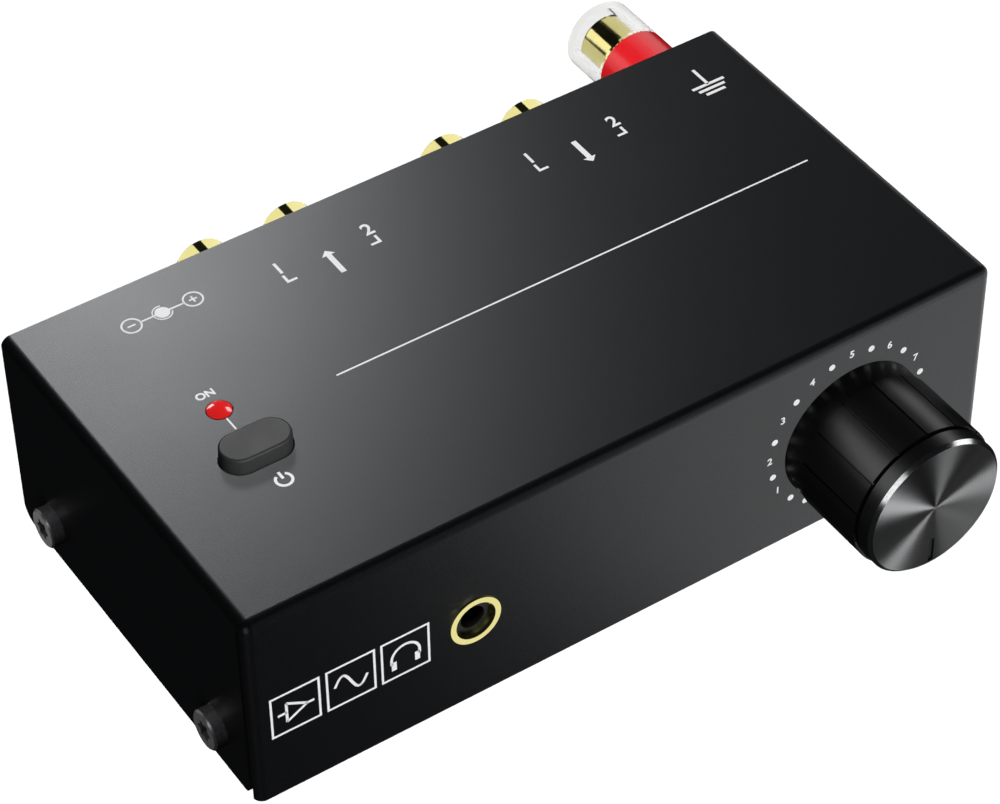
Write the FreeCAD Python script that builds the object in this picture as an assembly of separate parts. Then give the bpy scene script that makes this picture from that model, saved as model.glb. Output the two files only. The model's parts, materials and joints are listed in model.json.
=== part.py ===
# Phono preamp in a folded steel case: the construction, one STEP file for each piece.
# Millimetres. X to the right seen from the front, Y to the rear, Z up.
# The origin is on the table, at the centre of the whole object's footprint.

import FreeCAD, Part
import math
import os

Vec = FreeCAD.Vector

# Case
CASE_WIDTH = 116.0
CASE_DEPTH = 62.2
CASE_HEIGHT = 32.8
SHEET = 1.2
BEND_RADIUS = 1.4
INNER_BEND_RADIUS = 0.2
SEAM_GAP = 0.85
FLANGE_FRONT_CORNER = 1.2
FLANGE_REAR_CORNER = 2.5
SHEET_FIT = 0.1
REAR_INSET = 0.4
TAB_HEIGHT = 12.5

# Feet
FOOT_HEIGHT = 2.0
FOOT_RADIUS = 4.5
FOOT_DRAFT = 0.5
FOOT_FROM_SIDE = 11.0
FOOT_FROM_END = 9.0

# Side screws, M3 with a low head and a six-lobe socket
SCREW_RADIUS = 1.5
SCREW_LENGTH = 5.4
SCREW_HEAD_RADIUS = 2.9
SCREW_HEAD_HEIGHT = 1.9
SCREW_HEAD_CHAMFER = 0.25
SCREW_SOCKET_RADIUS = 1.15
SCREW_SOCKET_LOBE = 0.36
SCREW_SOCKET_DEPTH = 1.1
SCREW_HEIGHT = 6.3
SCREW_FROM_END = 9.6
SCREW_HOLE_CLEARANCE = 0.2
THREAD_CLEARANCE = 0.02
NUT_SHANK_RADIUS = 2.1
NUT_FLANGE_RADIUS = 3.1
NUT_FLANGE_THICKNESS = 1.5

# Circuit board
BOARD_UNDERSIDE = 8.0
BOARD_THICKNESS = 1.6
BOARD_SIDE_MARGIN = 3.5
BOARD_FRONT_MARGIN = 2.0
BOARD_REAR_MARGIN = 0.8
STANDOFF_FLATS = 5.0
STANDOFF_PILOT_RADIUS = 2.1
STANDOFF_FROM_SIDE = 10.5
STANDOFF_FROM_FRONT = 9.0
STANDOFF_FROM_REAR = 16.5
BOARD_SCREW_RADIUS = 1.25
BOARD_SCREW_LENGTH = 5.0
BOARD_SCREW_HEAD_RADIUS = 2.4
BOARD_SCREW_HEAD_HEIGHT = 1.6
BOARD_SCREW_SLOT = 0.7
BOARD_HOLE_CLEARANCE = 0.25

# Volume control
VOLUME_FROM_RIGHT = 23.3
VOLUME_ABOVE_BOARD = 6.8
CONTROL_WIDTH = 12.0
CONTROL_DEPTH = 11.0
CONTROL_RISE = 7.0
CONTROL_PLATE = 1.0
CONTROL_SEAM_WIDTH = 0.8
CONTROL_SEAM_DEPTH = 0.5
CONTROL_PIN_PITCH = 4.0
CONTROL_PIN_ROWS = 5.5
BUSHING_RADIUS = 3.5
BUSHING_PROUD = 4.2
BUSHING_HOLE_CLEARANCE = 0.2
SHAFT_RADIUS = 3.0
SHAFT_CLEARANCE = 0.05
SHAFT_END_GAP = 3.0
SHAFT_TIP_GAP = 1.0
CONTROL_WASHER_RADIUS = 6.0
CONTROL_WASHER_THICKNESS = 0.5
CONTROL_NUT_FLATS = 10.0
CONTROL_NUT_THICKNESS = 2.0

# Volume knob
KNOB_PROUD = 18.9
KNOB_PANEL_GAP = 0.8
KNOB_RADIUS = 11.1
KNOB_COLLAR_RADIUS = 10.9
KNOB_COLLAR_LENGTH = 3.6
KNOB_RING_RADIUS = 10.75
KNOB_RING_LENGTH = 2.6
KNOB_CHAMFER = 0.5
KNOB_GROOVE_WIDTH = 0.35
KNOB_GROOVE_DEPTH = 0.5
KNOB_GRIP_GROOVES = 14
KNOB_GRIP_WIDTH = 0.3
KNOB_GRIP_DEPTH = 0.4
KNOB_WALL = 1.6
KNOB_FACE_THICKNESS = 2.2
KNOB_POINTER_INNER = 5.85
KNOB_POINTER_OUTER = 9.9
KNOB_POINTER_WIDTH = 0.8
KNOB_POINTER_DEPTH = 0.25
KNOB_NUT_ROOM = 0.6
KNOB_FIT = 0.02

# Power button and its switch
BUTTON_FROM_LEFT = 17.0
BUTTON_FROM_FRONT = 25.3
BUTTON_LENGTH = 10.1
BUTTON_WIDTH = 5.6
BUTTON_PROUD = 2.4
BUTTON_EDGE_RADIUS = 0.35
BUTTON_CLEARANCE = 0.2
BUTTON_TRAVEL = 2.0
BUTTON_LIP = 0.7
BUTTON_LIP_THICKNESS = 1.0
BUTTON_LIP_GAP = 0.3
SWITCH_WIDTH = 8.5
SWITCH_HEIGHT = 10.5
SWITCH_PIN_PITCH = 2.8
PLUNGER_WIDTH = 3.4
PLUNGER_RISE = 5.0
PLUNGER_SINK = 4.0
PLUNGER_CLEARANCE = 0.1
BUTTON_SOCKET_DEPTH = 2.2
BUTTON_SOCKET_FIT = 0.02

# Power light
LIGHT_FROM_FRONT = 34.5
LIGHT_RADIUS = 1.65
LIGHT_PROUD = 0.75
LIGHT_DOME_STEP = 0.15
LIGHT_CLEARANCE = 0.1
LIGHT_BODY_LENGTH = 4.6
LIGHT_FLANGE_RADIUS = 2.0
LIGHT_FLANGE_THICKNESS = 0.9
LIGHT_HOLDER_RADIUS = 2.5
LIGHT_LEG_WIDTH = 0.5
LIGHT_LEG_PITCH = 2.54
LIGHT_LEG_CLEARANCE = 0.15
PIN_TAIL = 1.5

# Headphone socket
PHONES_FROM_LEFT = 33.1
PHONES_ABOVE_BOARD = 4.85
PHONES_BORE_RADIUS = 1.8
PHONES_BORE_LENGTH = 14.0
PHONES_BARREL_RADIUS = 2.65
PHONES_BARREL_RECESS = 0.5
PHONES_BODY_WIDTH = 9.0
PHONES_BODY_DEPTH = 14.5
PHONES_BODY_RISE = 4.6
FERRULE_RADIUS = 3.83
FERRULE_PROUD = 0.35
FERRULE_INNER_RADIUS = 3.0
FERRULE_SINK_DEPTH = 0.35
FERRULE_SLEEVE_RADIUS = 3.15
FERRULE_HOLE_CLEARANCE = 0.15
PHONES_CONTACT_WIDTH = 2.0
PHONES_CONTACT_THICKNESS = 0.3
PHONES_CONTACT_LENGTH = 6.0
PHONES_CONTACT_PITCH = 3.6
PHONES_PIN_PITCH = 6.0

# Rear sockets: two pairs of RCA sockets
OUTPUT_FROM_LEFT = 37.2
INPUT_FROM_RIGHT = 24.4
SOCKET_PITCH = 14.0
SOCKET_ABOVE_BOARD = 7.4
SOCKET_PROUD = 14.3
SOCKET_SHELL_RADIUS = 4.15
SOCKET_SHELL_WALL = 0.6
SOCKET_SHELL_CHAMFER = 0.25
SOCKET_NECK_RADIUS = 3.95
SOCKET_NECK_GAP = 0.3
SOCKET_INSERT_RECESS = 0.5
SOCKET_BORE_RADIUS = 1.6
SOCKET_CONTACT_WALL = 0.25
SOCKET_CONTACT_RECESS = 1.0
SOCKET_BOSS_RADIUS = 5.3
SOCKET_BOSS_PROUD = 3.0
SOCKET_BOSS_CLEARANCE = 0.2
SOCKET_SEAT_DEPTH = 4.0
SOCKET_BODY_MARGIN = 6.5
SOCKET_BODY_DEPTH = 12.0
SOCKET_BODY_RISE = 6.2
SOCKET_FIT = 0.02
SOCKET_PIN_RADIUS = 0.5
SOCKET_TAIL_MARGIN = 1.0
SOCKET_SOLDER_PINS = (4.2, 9.6)

# Power inlet, 5.5 x 2.1 mm
INLET_FROM_LEFT = 20.1
INLET_ABOVE_BOARD = 6.5
INLET_BODY_WIDTH = 9.0
INLET_BODY_DEPTH = 13.0
INLET_BODY_RISE = 4.6
INLET_BOSS_RADIUS = 4.2
INLET_BOSS_CLEARANCE = 0.2
INLET_BOSS_PROUD = 0.6
INLET_BORE_RADIUS = 3.2
INLET_BORE_LENGTH = 9.5
INLET_PIN_RADIUS = 1.05
INLET_PIN_RECESS = 1.0
INLET_TIP_RADIUS = 0.5
INLET_NECK_RADIUS = 0.85
INLET_NECK_GAP = 0.3
INLET_SPRING_WIDTH = 2.4
INLET_SPRING_THICKNESS = 0.4
INLET_SPRING_MARGIN = 1.0
INLET_SOLDER_PINS = (5.2, 11.0)

# Ground post
GROUND_FROM_RIGHT = 8.6
GROUND_HEIGHT = 24.4
POST_PROUD = 17.4
POST_RADIUS = 5.65
POST_BASE_LENGTH = 9.0
POST_BASE_SHOULDER_RADIUS = 3.0
POST_HOLE_CLEARANCE = 0.15
POST_WASHER_THICKNESS = 0.5
POST_WASHER_RADIUS = 5.35
POST_WASHER_TEETH = 48
POST_WASHER_TOOTH = 0.2
POST_STUD_RADIUS = 2.0
POST_STUD_CLEARANCE = 0.05
POST_STUD_END_RECESS = 3.2
POST_STUD_WIRE_RADIUS = 0.8
POST_NUT_RADIUS = 3.7
POST_NUT_RECESS = 1.2
POST_NUT_CHAMFER = 0.4
POST_SLEEVE_CHAMFER = 0.3
POST_FIT = 0.02
POST_STRAP_THICKNESS = 0.5
POST_STRAP_RADIUS = 3.6
POST_STRAP_WIDTH = 4.0
POST_STRAP_FOOT = 4.5
POST_INNER_WASHER_RADIUS = 3.9
POST_INNER_WASHER_THICKNESS = 0.6
POST_INNER_NUT_FLATS = 7.0
POST_INNER_NUT_THICKNESS = 2.4
POST_STUD_TAIL = 1.2

# Parts on the board, placed from the left side and the front, or from the right side where named
CHIP_LENGTH = 9.9
CHIP_WIDTH = 6.4
CHIP_HEIGHT = 3.3
CHIP_RAISE = 0.5
CHIP_NOTCH_RADIUS = 0.8
CHIP_NOTCH_DEPTH = 0.5
CHIP_LEG_WIDTH = 0.5
CHIP_LEG_THICKNESS = 0.25
CHIP_LEG_PITCH = 2.54
CHIP_LEGS_PER_SIDE = 4
CHIP_PLACES = [(50.0, 24.0), (66.0, 24.0)]
POWER_CAP_RADIUS = 5.0
POWER_CAP_HEIGHT = 16.0
POWER_CAP_PLACE = (28.0, 36.0)
SIGNAL_CAP_RADIUS = 3.15
SIGNAL_CAP_HEIGHT = 11.0
SIGNAL_CAP_PLACES = [(42.0, 36.0), (50.0, 36.0), (58.0, 36.0)]
SIGNAL_CAP_RIGHT_PLACES = [(30.0, 31.0), (22.0, 31.0), (14.0, 31.0)]
CAP_CRIMP_HEIGHT = 1.6
CAP_CRIMP_DEPTH = 0.35
CAP_CRIMP_WIDTH = 0.8
CAP_LEAD_RADIUS = 0.3
CAP_LEAD_PITCH = 2.5
FILM_CAP_SIZE = (7.3, 3.2, 7.6)
FILM_CAP_PLACES = [(65.5, 33.5), (65.5, 37.5), (65.5, 41.5), (65.5, 45.5)]
RESISTOR_RADIUS = 1.15
RESISTOR_LENGTH = 6.2
RESISTOR_WAIST = 0.25
RESISTOR_BULGE = 1.25
RESISTOR_COUNT = 7
RESISTOR_START = 43.0
RESISTOR_PITCH = 4.5
RESISTOR_FROM_FRONT = 12.0
RESISTOR_LEAD_RADIUS = 0.3
RESISTOR_LEAD_REACH = 2.0
REGULATOR_WIDTH = 10.0
REGULATOR_THICKNESS = 4.4
REGULATOR_HEIGHT = 9.0
REGULATOR_TAB_THICKNESS = 1.3
REGULATOR_TAB_HEIGHT = 6.0
REGULATOR_TAB_HOLE = 1.8
REGULATOR_RAISE = 2.5
REGULATOR_LEG_PITCH = 2.54
REGULATOR_PLACE = (38.0, 24.0)

# Places that follow from the sizes above
LEFT = -CASE_WIDTH / 2
RIGHT = CASE_WIDTH / 2
FRONT = KNOB_PROUD - (KNOB_PROUD + CASE_DEPTH + POST_PROUD) / 2
REAR = FRONT + CASE_DEPTH
BOTTOM = FOOT_HEIGHT
TOP = BOTTOM + CASE_HEIGHT
COVER_UNDERSIDE = TOP - SHEET
FRONT_INSIDE = FRONT + SHEET
PANEL_OUTSIDE = REAR - REAR_INSET
PANEL_INSIDE = PANEL_OUTSIDE - SHEET
TRAY_HALF_WIDTH = CASE_WIDTH / 2 - SHEET - SHEET_FIT
TRAY_FRONT = FRONT_INSIDE + SHEET_FIT
TRAY_FLOOR = BOTTOM + SHEET
BOARD_BOTTOM = BOTTOM + BOARD_UNDERSIDE
BOARD_TOP = BOARD_BOTTOM + BOARD_THICKNESS
BOARD_HALF_WIDTH = TRAY_HALF_WIDTH - SHEET - BOARD_SIDE_MARGIN
BOARD_FRONT = FRONT_INSIDE + BOARD_FRONT_MARGIN
BOARD_REAR = PANEL_INSIDE - BOARD_REAR_MARGIN
SCREW_Z = BOTTOM + SCREW_HEIGHT
SCREW_YS = [FRONT + SCREW_FROM_END, REAR - SCREW_FROM_END]
VOLUME_X = RIGHT - VOLUME_FROM_RIGHT
VOLUME_Z = BOARD_TOP + VOLUME_ABOVE_BOARD
KNOB_FACE = FRONT - KNOB_PROUD
KNOB_BACK = FRONT - KNOB_PANEL_GAP
KNOB_BORE = KNOB_RING_RADIUS - KNOB_GROOVE_DEPTH - KNOB_WALL
KNOB_CORE_FRONT = KNOB_FACE + KNOB_FACE_THICKNESS
KNOB_CORE_BACK = FRONT - BUSHING_PROUD - KNOB_NUT_ROOM
SHAFT_FRONT = KNOB_CORE_FRONT + SHAFT_TIP_GAP
CONTROL_FRONT = FRONT_INSIDE + CONTROL_PLATE
CONTROL_REAR = CONTROL_FRONT + CONTROL_DEPTH
BUTTON_X = LEFT + BUTTON_FROM_LEFT
BUTTON_Y = FRONT + BUTTON_FROM_FRONT
BUTTON_TOP = TOP + BUTTON_PROUD
BUTTON_LIP_TOP = COVER_UNDERSIDE - BUTTON_LIP_GAP
BUTTON_BOTTOM = BUTTON_LIP_TOP - BUTTON_LIP_THICKNESS
SWITCH_TOP = BOARD_TOP + SWITCH_HEIGHT
PLUNGER_TOP = SWITCH_TOP + PLUNGER_RISE
LIGHT_Y = FRONT + LIGHT_FROM_FRONT
LIGHT_BOTTOM = TOP - LIGHT_BODY_LENGTH
PHONES_X = LEFT + PHONES_FROM_LEFT
PHONES_Z = BOARD_TOP + PHONES_ABOVE_BOARD
PHONES_MOUTH = FRONT + PHONES_BARREL_RECESS
PHONES_MIDDLE = FRONT_INSIDE + PHONES_BODY_DEPTH / 2
SOCKET_Z = BOARD_TOP + SOCKET_ABOVE_BOARD
OUTPUT_XS = [LEFT + OUTPUT_FROM_LEFT, LEFT + OUTPUT_FROM_LEFT + SOCKET_PITCH]
INPUT_XS = [RIGHT - INPUT_FROM_RIGHT - SOCKET_PITCH, RIGHT - INPUT_FROM_RIGHT]
SOCKET_END = REAR + SOCKET_PROUD
SOCKET_BOSS_END = REAR + SOCKET_BOSS_PROUD
SOCKET_SHOULDER = SOCKET_BOSS_END + SOCKET_NECK_GAP
SOCKET_SEAT = PANEL_INSIDE - SOCKET_SEAT_DEPTH
SOCKET_TAIL_FRONT = PANEL_INSIDE - SOCKET_BODY_DEPTH + SOCKET_TAIL_MARGIN
SOCKET_INSERT_RADIUS = SOCKET_SHELL_RADIUS - SOCKET_SHELL_WALL - SOCKET_FIT
SOCKET_INSERT_END = SOCKET_END - SOCKET_INSERT_RECESS
INLET_X = LEFT + INLET_FROM_LEFT
INLET_Z = BOARD_TOP + INLET_ABOVE_BOARD
INLET_MOUTH = PANEL_OUTSIDE + INLET_BOSS_PROUD
INLET_FRONT = PANEL_INSIDE - INLET_BODY_DEPTH
INLET_FLOOR = INLET_MOUTH - INLET_BORE_LENGTH
INLET_SHOULDER = INLET_FLOOR + INLET_NECK_GAP
GROUND_X = RIGHT - GROUND_FROM_RIGHT
GROUND_Z = BOTTOM + GROUND_HEIGHT
POST_END = REAR + POST_PROUD
POST_BASE_END = PANEL_OUTSIDE + POST_BASE_LENGTH
POST_WASHER_END = POST_BASE_END + POST_WASHER_THICKNESS
POST_NUT_END = POST_END - POST_NUT_RECESS
POST_STUD_END = POST_END - POST_STUD_END_RECESS
POST_STRAP_FRONT = PANEL_INSIDE - POST_STRAP_THICKNESS
POST_INNER_WASHER_FRONT = POST_STRAP_FRONT - POST_INNER_WASHER_THICKNESS
POST_INNER_NUT_FRONT = POST_INNER_WASHER_FRONT - POST_INNER_NUT_THICKNESS
POST_STUD_FRONT = POST_INNER_NUT_FRONT - POST_STUD_TAIL
SMALL = 1e-4

UP = Vec(0, 0, 1)
BACK = Vec(0, 1, 0)
ACROSS = Vec(1, 0, 0)


# Building blocks

def block(x_low, y_low, z_low, x_high, y_high, z_high):
    """A box between two corners."""
    return Part.makeBox(x_high - x_low, y_high - y_low, z_high - z_low, Vec(x_low, y_low, z_low))


def rod_y(x, z, y_low, y_high, radius):
    """A cylinder along Y."""
    return Part.makeCylinder(radius, y_high - y_low, Vec(x, y_low, z), BACK)


def rod_z(x, y, z_low, z_high, radius):
    """A cylinder along Z."""
    return Part.makeCylinder(radius, z_high - z_low, Vec(x, y, z_low), UP)


def rod_x(y, z, x_low, x_high, radius):
    """A cylinder along X."""
    return Part.makeCylinder(radius, x_high - x_low, Vec(x_low, y, z), ACROSS)


def tube_y(x, z, y_low, y_high, outer, inner):
    """A tube along Y."""
    return rod_y(x, z, y_low, y_high, outer).cut(rod_y(x, z, y_low - 1, y_high + 1, inner))


def hexagon(centre, normal, start, flats, length):
    """A hexagonal prism with its axis along normal and a corner towards start."""
    corner_radius = flats / math.sqrt(3)
    side = normal.cross(start)
    points = []
    for step in range(7):
        angle = step * math.pi / 3
        points.append(centre + start * (corner_radius * math.cos(angle))
                      + side * (corner_radius * math.sin(angle)))
    return Part.Face(Part.makePolygon(points)).extrude(normal * length)


def stadium(x, y, z_low, z_high, length, width):
    """An upright prism with round ends, long in X."""
    radius = width / 2
    reach = length / 2 - radius
    middle = block(x - reach, y - radius, z_low, x + reach, y + radius, z_high)
    ends = [rod_z(x + side * reach, y, z_low, z_high, radius) for side in (-1, 1)]
    return middle.fuse(ends).removeSplitter()


def turned(x, z, profile):
    """A solid turned about the Y axis line through (x, z), from (radius, y) points."""
    points = [Vec(x + radius, y, z) for radius, y in profile]
    wire = Part.makePolygon(points + [points[0]])
    return Part.Face(wire).revolve(Vec(x, 0, z), BACK, 360)


def near(value, target):
    return abs(value - target) < SMALL


def edges_at(shape, **places):
    """Straight edges whose two ends lie at the named x, y or z."""
    found = []
    for edge in shape.Edges:
        if len(edge.Vertexes) != 2:
            continue
        ends = [vertex.Point for vertex in edge.Vertexes]
        if all(near(getattr(end, axis), value) for end in ends for axis, value in places.items()):
            found.append(edge)
    return found


def save(name, *solids):
    """Write one piece, or a group of separate identical pieces, to its own file."""
    shape = solids[0] if len(solids) == 1 else Part.makeCompound(list(solids))
    shape.exportStep(os.path.join("parts", name + ".step"))


# Case

def folded_corners(shape, z_bend, y_bend, half_width, radius):
    """Round the bends of a folded box: two along Y, one along X and two upright."""
    edges = edges_at(shape, z=z_bend, y=y_bend) + edges_at(shape, z=z_bend, x=half_width)
    edges += edges_at(shape, z=z_bend, x=-half_width) + edges_at(shape, y=y_bend, x=half_width)
    edges += edges_at(shape, y=y_bend, x=-half_width)
    return shape.makeFillet(radius, edges)


def cover_blank():
    """Top, front panel and side flanges, folded from one sheet."""
    outer = folded_corners(block(LEFT, FRONT, BOTTOM, RIGHT, REAR, TOP), TOP, FRONT, RIGHT, BEND_RADIUS)
    room = block(LEFT + SHEET, FRONT_INSIDE, BOTTOM - 1, RIGHT - SHEET, REAR + 1, COVER_UNDERSIDE)
    room = folded_corners(room, COVER_UNDERSIDE, FRONT_INSIDE, RIGHT - SHEET, INNER_BEND_RADIUS)
    return outer.cut(room)


def cover_seam(side):
    """The gap between the front panel and a side flange, with its round bend relief."""
    x_low = min(side * (CASE_WIDTH / 2 - SHEET), side * (CASE_WIDTH / 2 + 1))
    x_high = max(side * (CASE_WIDTH / 2 - SHEET), side * (CASE_WIDTH / 2 + 1))
    relief_z = TOP - BEND_RADIUS - SEAM_GAP / 2
    slot = block(x_low, FRONT_INSIDE, BOTTOM - 1, x_high, FRONT_INSIDE + SEAM_GAP, relief_z)
    return slot.fuse(rod_x(FRONT_INSIDE + SEAM_GAP / 2, relief_z, x_low, x_high, SEAM_GAP / 2))


def make_cover():
    cover = cover_blank()
    for side in (-1, 1):
        cover = cover.cut(cover_seam(side))
    cover = cover.makeFillet(FLANGE_REAR_CORNER, edges_at(cover, z=BOTTOM, y=REAR))
    cover = cover.makeFillet(FLANGE_FRONT_CORNER, edges_at(cover, z=BOTTOM, y=FRONT_INSIDE + SEAM_GAP))
    holes = [rod_y(VOLUME_X, VOLUME_Z, FRONT - 1, FRONT_INSIDE + 1, BUSHING_RADIUS + BUSHING_HOLE_CLEARANCE),
             rod_y(PHONES_X, PHONES_Z, FRONT - 1, FRONT_INSIDE + 1,
                   FERRULE_SLEEVE_RADIUS + FERRULE_HOLE_CLEARANCE),
             rod_z(BUTTON_X, LIGHT_Y, COVER_UNDERSIDE - 1, TOP + 1, LIGHT_RADIUS + LIGHT_CLEARANCE),
             stadium(BUTTON_X, BUTTON_Y, COVER_UNDERSIDE - 1, TOP + 1,
                     BUTTON_LENGTH + 2 * BUTTON_CLEARANCE, BUTTON_WIDTH + 2 * BUTTON_CLEARANCE)]
    for y in SCREW_YS:
        holes.append(rod_x(y, SCREW_Z, LEFT - 1, LEFT + SHEET + 1, SCREW_RADIUS + SCREW_HOLE_CLEARANCE))
        holes.append(rod_x(y, SCREW_Z, RIGHT - SHEET - 1, RIGHT + 1, SCREW_RADIUS + SCREW_HOLE_CLEARANCE))
    return cover.cut(holes)


def make_tray():
    """Bottom, rear panel and two low side flanges, folded from one sheet."""
    outer = block(-TRAY_HALF_WIDTH, TRAY_FRONT, BOTTOM, TRAY_HALF_WIDTH, PANEL_OUTSIDE,
                  COVER_UNDERSIDE - SHEET_FIT)
    outer = folded_corners(outer, BOTTOM, PANEL_OUTSIDE, TRAY_HALF_WIDTH, BEND_RADIUS)
    half_room = TRAY_HALF_WIDTH - SHEET
    room = block(-half_room, TRAY_FRONT - 1, TRAY_FLOOR, half_room, PANEL_INSIDE, TOP + 1)
    room = folded_corners(room, TRAY_FLOOR, PANEL_INSIDE, half_room, INNER_BEND_RADIUS)
    tray = outer.cut(room)
    above_tabs = block(LEFT, TRAY_FRONT - 1, BOTTOM + TAB_HEIGHT, RIGHT, PANEL_INSIDE, TOP + 1)
    tray = tray.cut(above_tabs)
    relief_z = BOTTOM + BEND_RADIUS + SEAM_GAP / 2
    cuts = []
    for side in (-1, 1):
        x_low = min(side * half_room, side * (CASE_WIDTH / 2))
        x_high = max(side * half_room, side * (CASE_WIDTH / 2))
        cuts.append(block(x_low, PANEL_INSIDE - SEAM_GAP, relief_z, x_high, PANEL_INSIDE, TOP))
        cuts.append(rod_x(PANEL_INSIDE - SEAM_GAP / 2, relief_z, x_low, x_high, SEAM_GAP / 2))
        for y in SCREW_YS:
            cuts.append(rod_x(y, SCREW_Z, x_low - 1, x_high, NUT_SHANK_RADIUS))
    for x in OUTPUT_XS + INPUT_XS:
        cuts.append(rod_y(x, SOCKET_Z, PANEL_INSIDE - 1, REAR, SOCKET_BOSS_RADIUS + SOCKET_BOSS_CLEARANCE))
    cuts.append(rod_y(INLET_X, INLET_Z, PANEL_INSIDE - 1, REAR, INLET_BOSS_RADIUS + INLET_BOSS_CLEARANCE))
    cuts.append(rod_y(GROUND_X, GROUND_Z, PANEL_INSIDE - 1, REAR,
                      POST_BASE_SHOULDER_RADIUS + POST_HOLE_CLEARANCE))
    for x, y in standoff_places():
        cuts.append(rod_z(x, y, BOTTOM - 1, TRAY_FLOOR + 1, STANDOFF_PILOT_RADIUS))
    return tray.cut(cuts)


def make_feet():
    feet = []
    for x in (LEFT + FOOT_FROM_SIDE, RIGHT - FOOT_FROM_SIDE):
        for y in (FRONT + FOOT_FROM_END, REAR - FOOT_FROM_END):
            feet.append(Part.makeCone(FOOT_RADIUS - FOOT_DRAFT, FOOT_RADIUS, FOOT_HEIGHT, Vec(x, y, 0)))
    return feet


def six_lobe_socket(y, z, x_low, x_high):
    """The six-lobe driver recess of a side screw."""
    cutters = [rod_x(y, z, x_low, x_high, SCREW_SOCKET_RADIUS)]
    for step in range(6):
        angle = step * math.pi / 3
        lobe_y = y + SCREW_SOCKET_RADIUS * math.cos(angle)
        lobe_z = z + SCREW_SOCKET_RADIUS * math.sin(angle)
        cutters.append(rod_x(lobe_y, lobe_z, x_low, x_high, SCREW_SOCKET_LOBE))
    return cutters


def side_screw(side, y):
    """One M3 screw, its head against a side flange of the cover."""
    seat = side * CASE_WIDTH / 2
    outer = seat + side * SCREW_HEAD_HEIGHT
    tip = seat - side * SCREW_LENGTH
    head = rod_x(y, SCREW_Z, min(seat, outer), max(seat, outer), SCREW_HEAD_RADIUS)
    rim = [edge for edge in head.Edges if len(edge.Vertexes) == 1 and near(edge.Vertexes[0].Point.x, outer)]
    head = head.makeChamfer(SCREW_HEAD_CHAMFER, rim)
    floor = outer - side * SCREW_SOCKET_DEPTH
    head = head.cut(six_lobe_socket(y, SCREW_Z, min(floor, outer + side), max(floor, outer + side)))
    return head.fuse(rod_x(y, SCREW_Z, min(seat, tip), max(seat, tip), SCREW_RADIUS))


def pressed_nut(side, y):
    """One clinch nut, its shank in a side flange of the tray."""
    outer = side * TRAY_HALF_WIDTH
    inner_face = outer - side * SHEET
    inner_end = inner_face - side * NUT_FLANGE_THICKNESS
    nut = rod_x(y, SCREW_Z, min(outer, inner_face), max(outer, inner_face), NUT_SHANK_RADIUS)
    nut = nut.fuse(rod_x(y, SCREW_Z, min(inner_face, inner_end), max(inner_face, inner_end),
                         NUT_FLANGE_RADIUS))
    return nut.cut(rod_x(y, SCREW_Z, min(outer, inner_end) - 1, max(outer, inner_end) + 1,
                         SCREW_RADIUS + THREAD_CLEARANCE))


# Circuit board

def standoff_places():
    xs = (LEFT + STANDOFF_FROM_SIDE, RIGHT - STANDOFF_FROM_SIDE)
    ys = (FRONT + STANDOFF_FROM_FRONT, REAR - STANDOFF_FROM_REAR)
    return [(x, y) for x in xs for y in ys]


def standoff(x, y):
    """A hexagonal standoff pressed into the tray floor."""
    body = hexagon(Vec(x, y, TRAY_FLOOR), UP, ACROSS, STANDOFF_FLATS, BOARD_BOTTOM - TRAY_FLOOR)
    body = body.fuse(rod_z(x, y, BOTTOM, TRAY_FLOOR, STANDOFF_PILOT_RADIUS))
    return body.cut(rod_z(x, y, BOTTOM + SHEET / 2, BOARD_BOTTOM + 1, BOARD_SCREW_RADIUS + THREAD_CLEARANCE))


def board_screw(x, y):
    """A slotted pan-head screw that holds the board to a standoff."""
    head_top = BOARD_TOP + BOARD_SCREW_HEAD_HEIGHT
    screw = rod_z(x, y, BOARD_TOP, head_top, BOARD_SCREW_HEAD_RADIUS)
    screw = screw.fuse(rod_z(x, y, BOARD_TOP - BOARD_SCREW_LENGTH, BOARD_TOP, BOARD_SCREW_RADIUS))
    half = BOARD_SCREW_SLOT / 2
    slot = block(x - BOARD_SCREW_HEAD_RADIUS, y - half, BOARD_TOP + BOARD_SCREW_HEAD_HEIGHT / 2,
                 x + BOARD_SCREW_HEAD_RADIUS, y + half, head_top + 1)
    return screw.cut(slot)


def make_board(pins):
    """The board, drilled for its screws and for every solder pin."""
    board = block(-BOARD_HALF_WIDTH, BOARD_FRONT, BOARD_BOTTOM, BOARD_HALF_WIDTH, BOARD_REAR, BOARD_TOP)
    holes = [rod_z(x, y, BOARD_BOTTOM - 1, BOARD_TOP + 1, BOARD_SCREW_RADIUS + BOARD_HOLE_CLEARANCE)
             for x, y in standoff_places()]
    for x, y, radius in pins:
        holes.append(rod_z(x, y, BOARD_BOTTOM - 1, BOARD_TOP + 1, radius))
    return board.cut(holes)


def pin(x, y, z_top, radius):
    """A round solder pin from a part on the board to just below the board."""
    return rod_z(x, y, BOARD_BOTTOM - PIN_TAIL, z_top, radius)


# Volume control and knob

def make_control():
    """Housing of the two-gang control, on the board behind the front panel."""
    half = CONTROL_WIDTH / 2
    body = block(VOLUME_X - half, CONTROL_FRONT, BOARD_TOP, VOLUME_X + half, CONTROL_REAR,
                 VOLUME_Z + CONTROL_RISE)
    middle = (CONTROL_FRONT + CONTROL_REAR) / 2
    seam = block(VOLUME_X - half - 1, middle - CONTROL_SEAM_WIDTH / 2, BOARD_TOP,
                 VOLUME_X - half + CONTROL_SEAM_DEPTH, middle + CONTROL_SEAM_WIDTH / 2, TOP)
    other = seam.mirror(Vec(VOLUME_X, 0, 0), ACROSS)
    body = body.cut([seam, other])
    return body.cut(rod_y(VOLUME_X, VOLUME_Z, CONTROL_FRONT - 1, CONTROL_REAR - SHAFT_END_GAP,
                          SHAFT_RADIUS + SHAFT_CLEARANCE))


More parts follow.
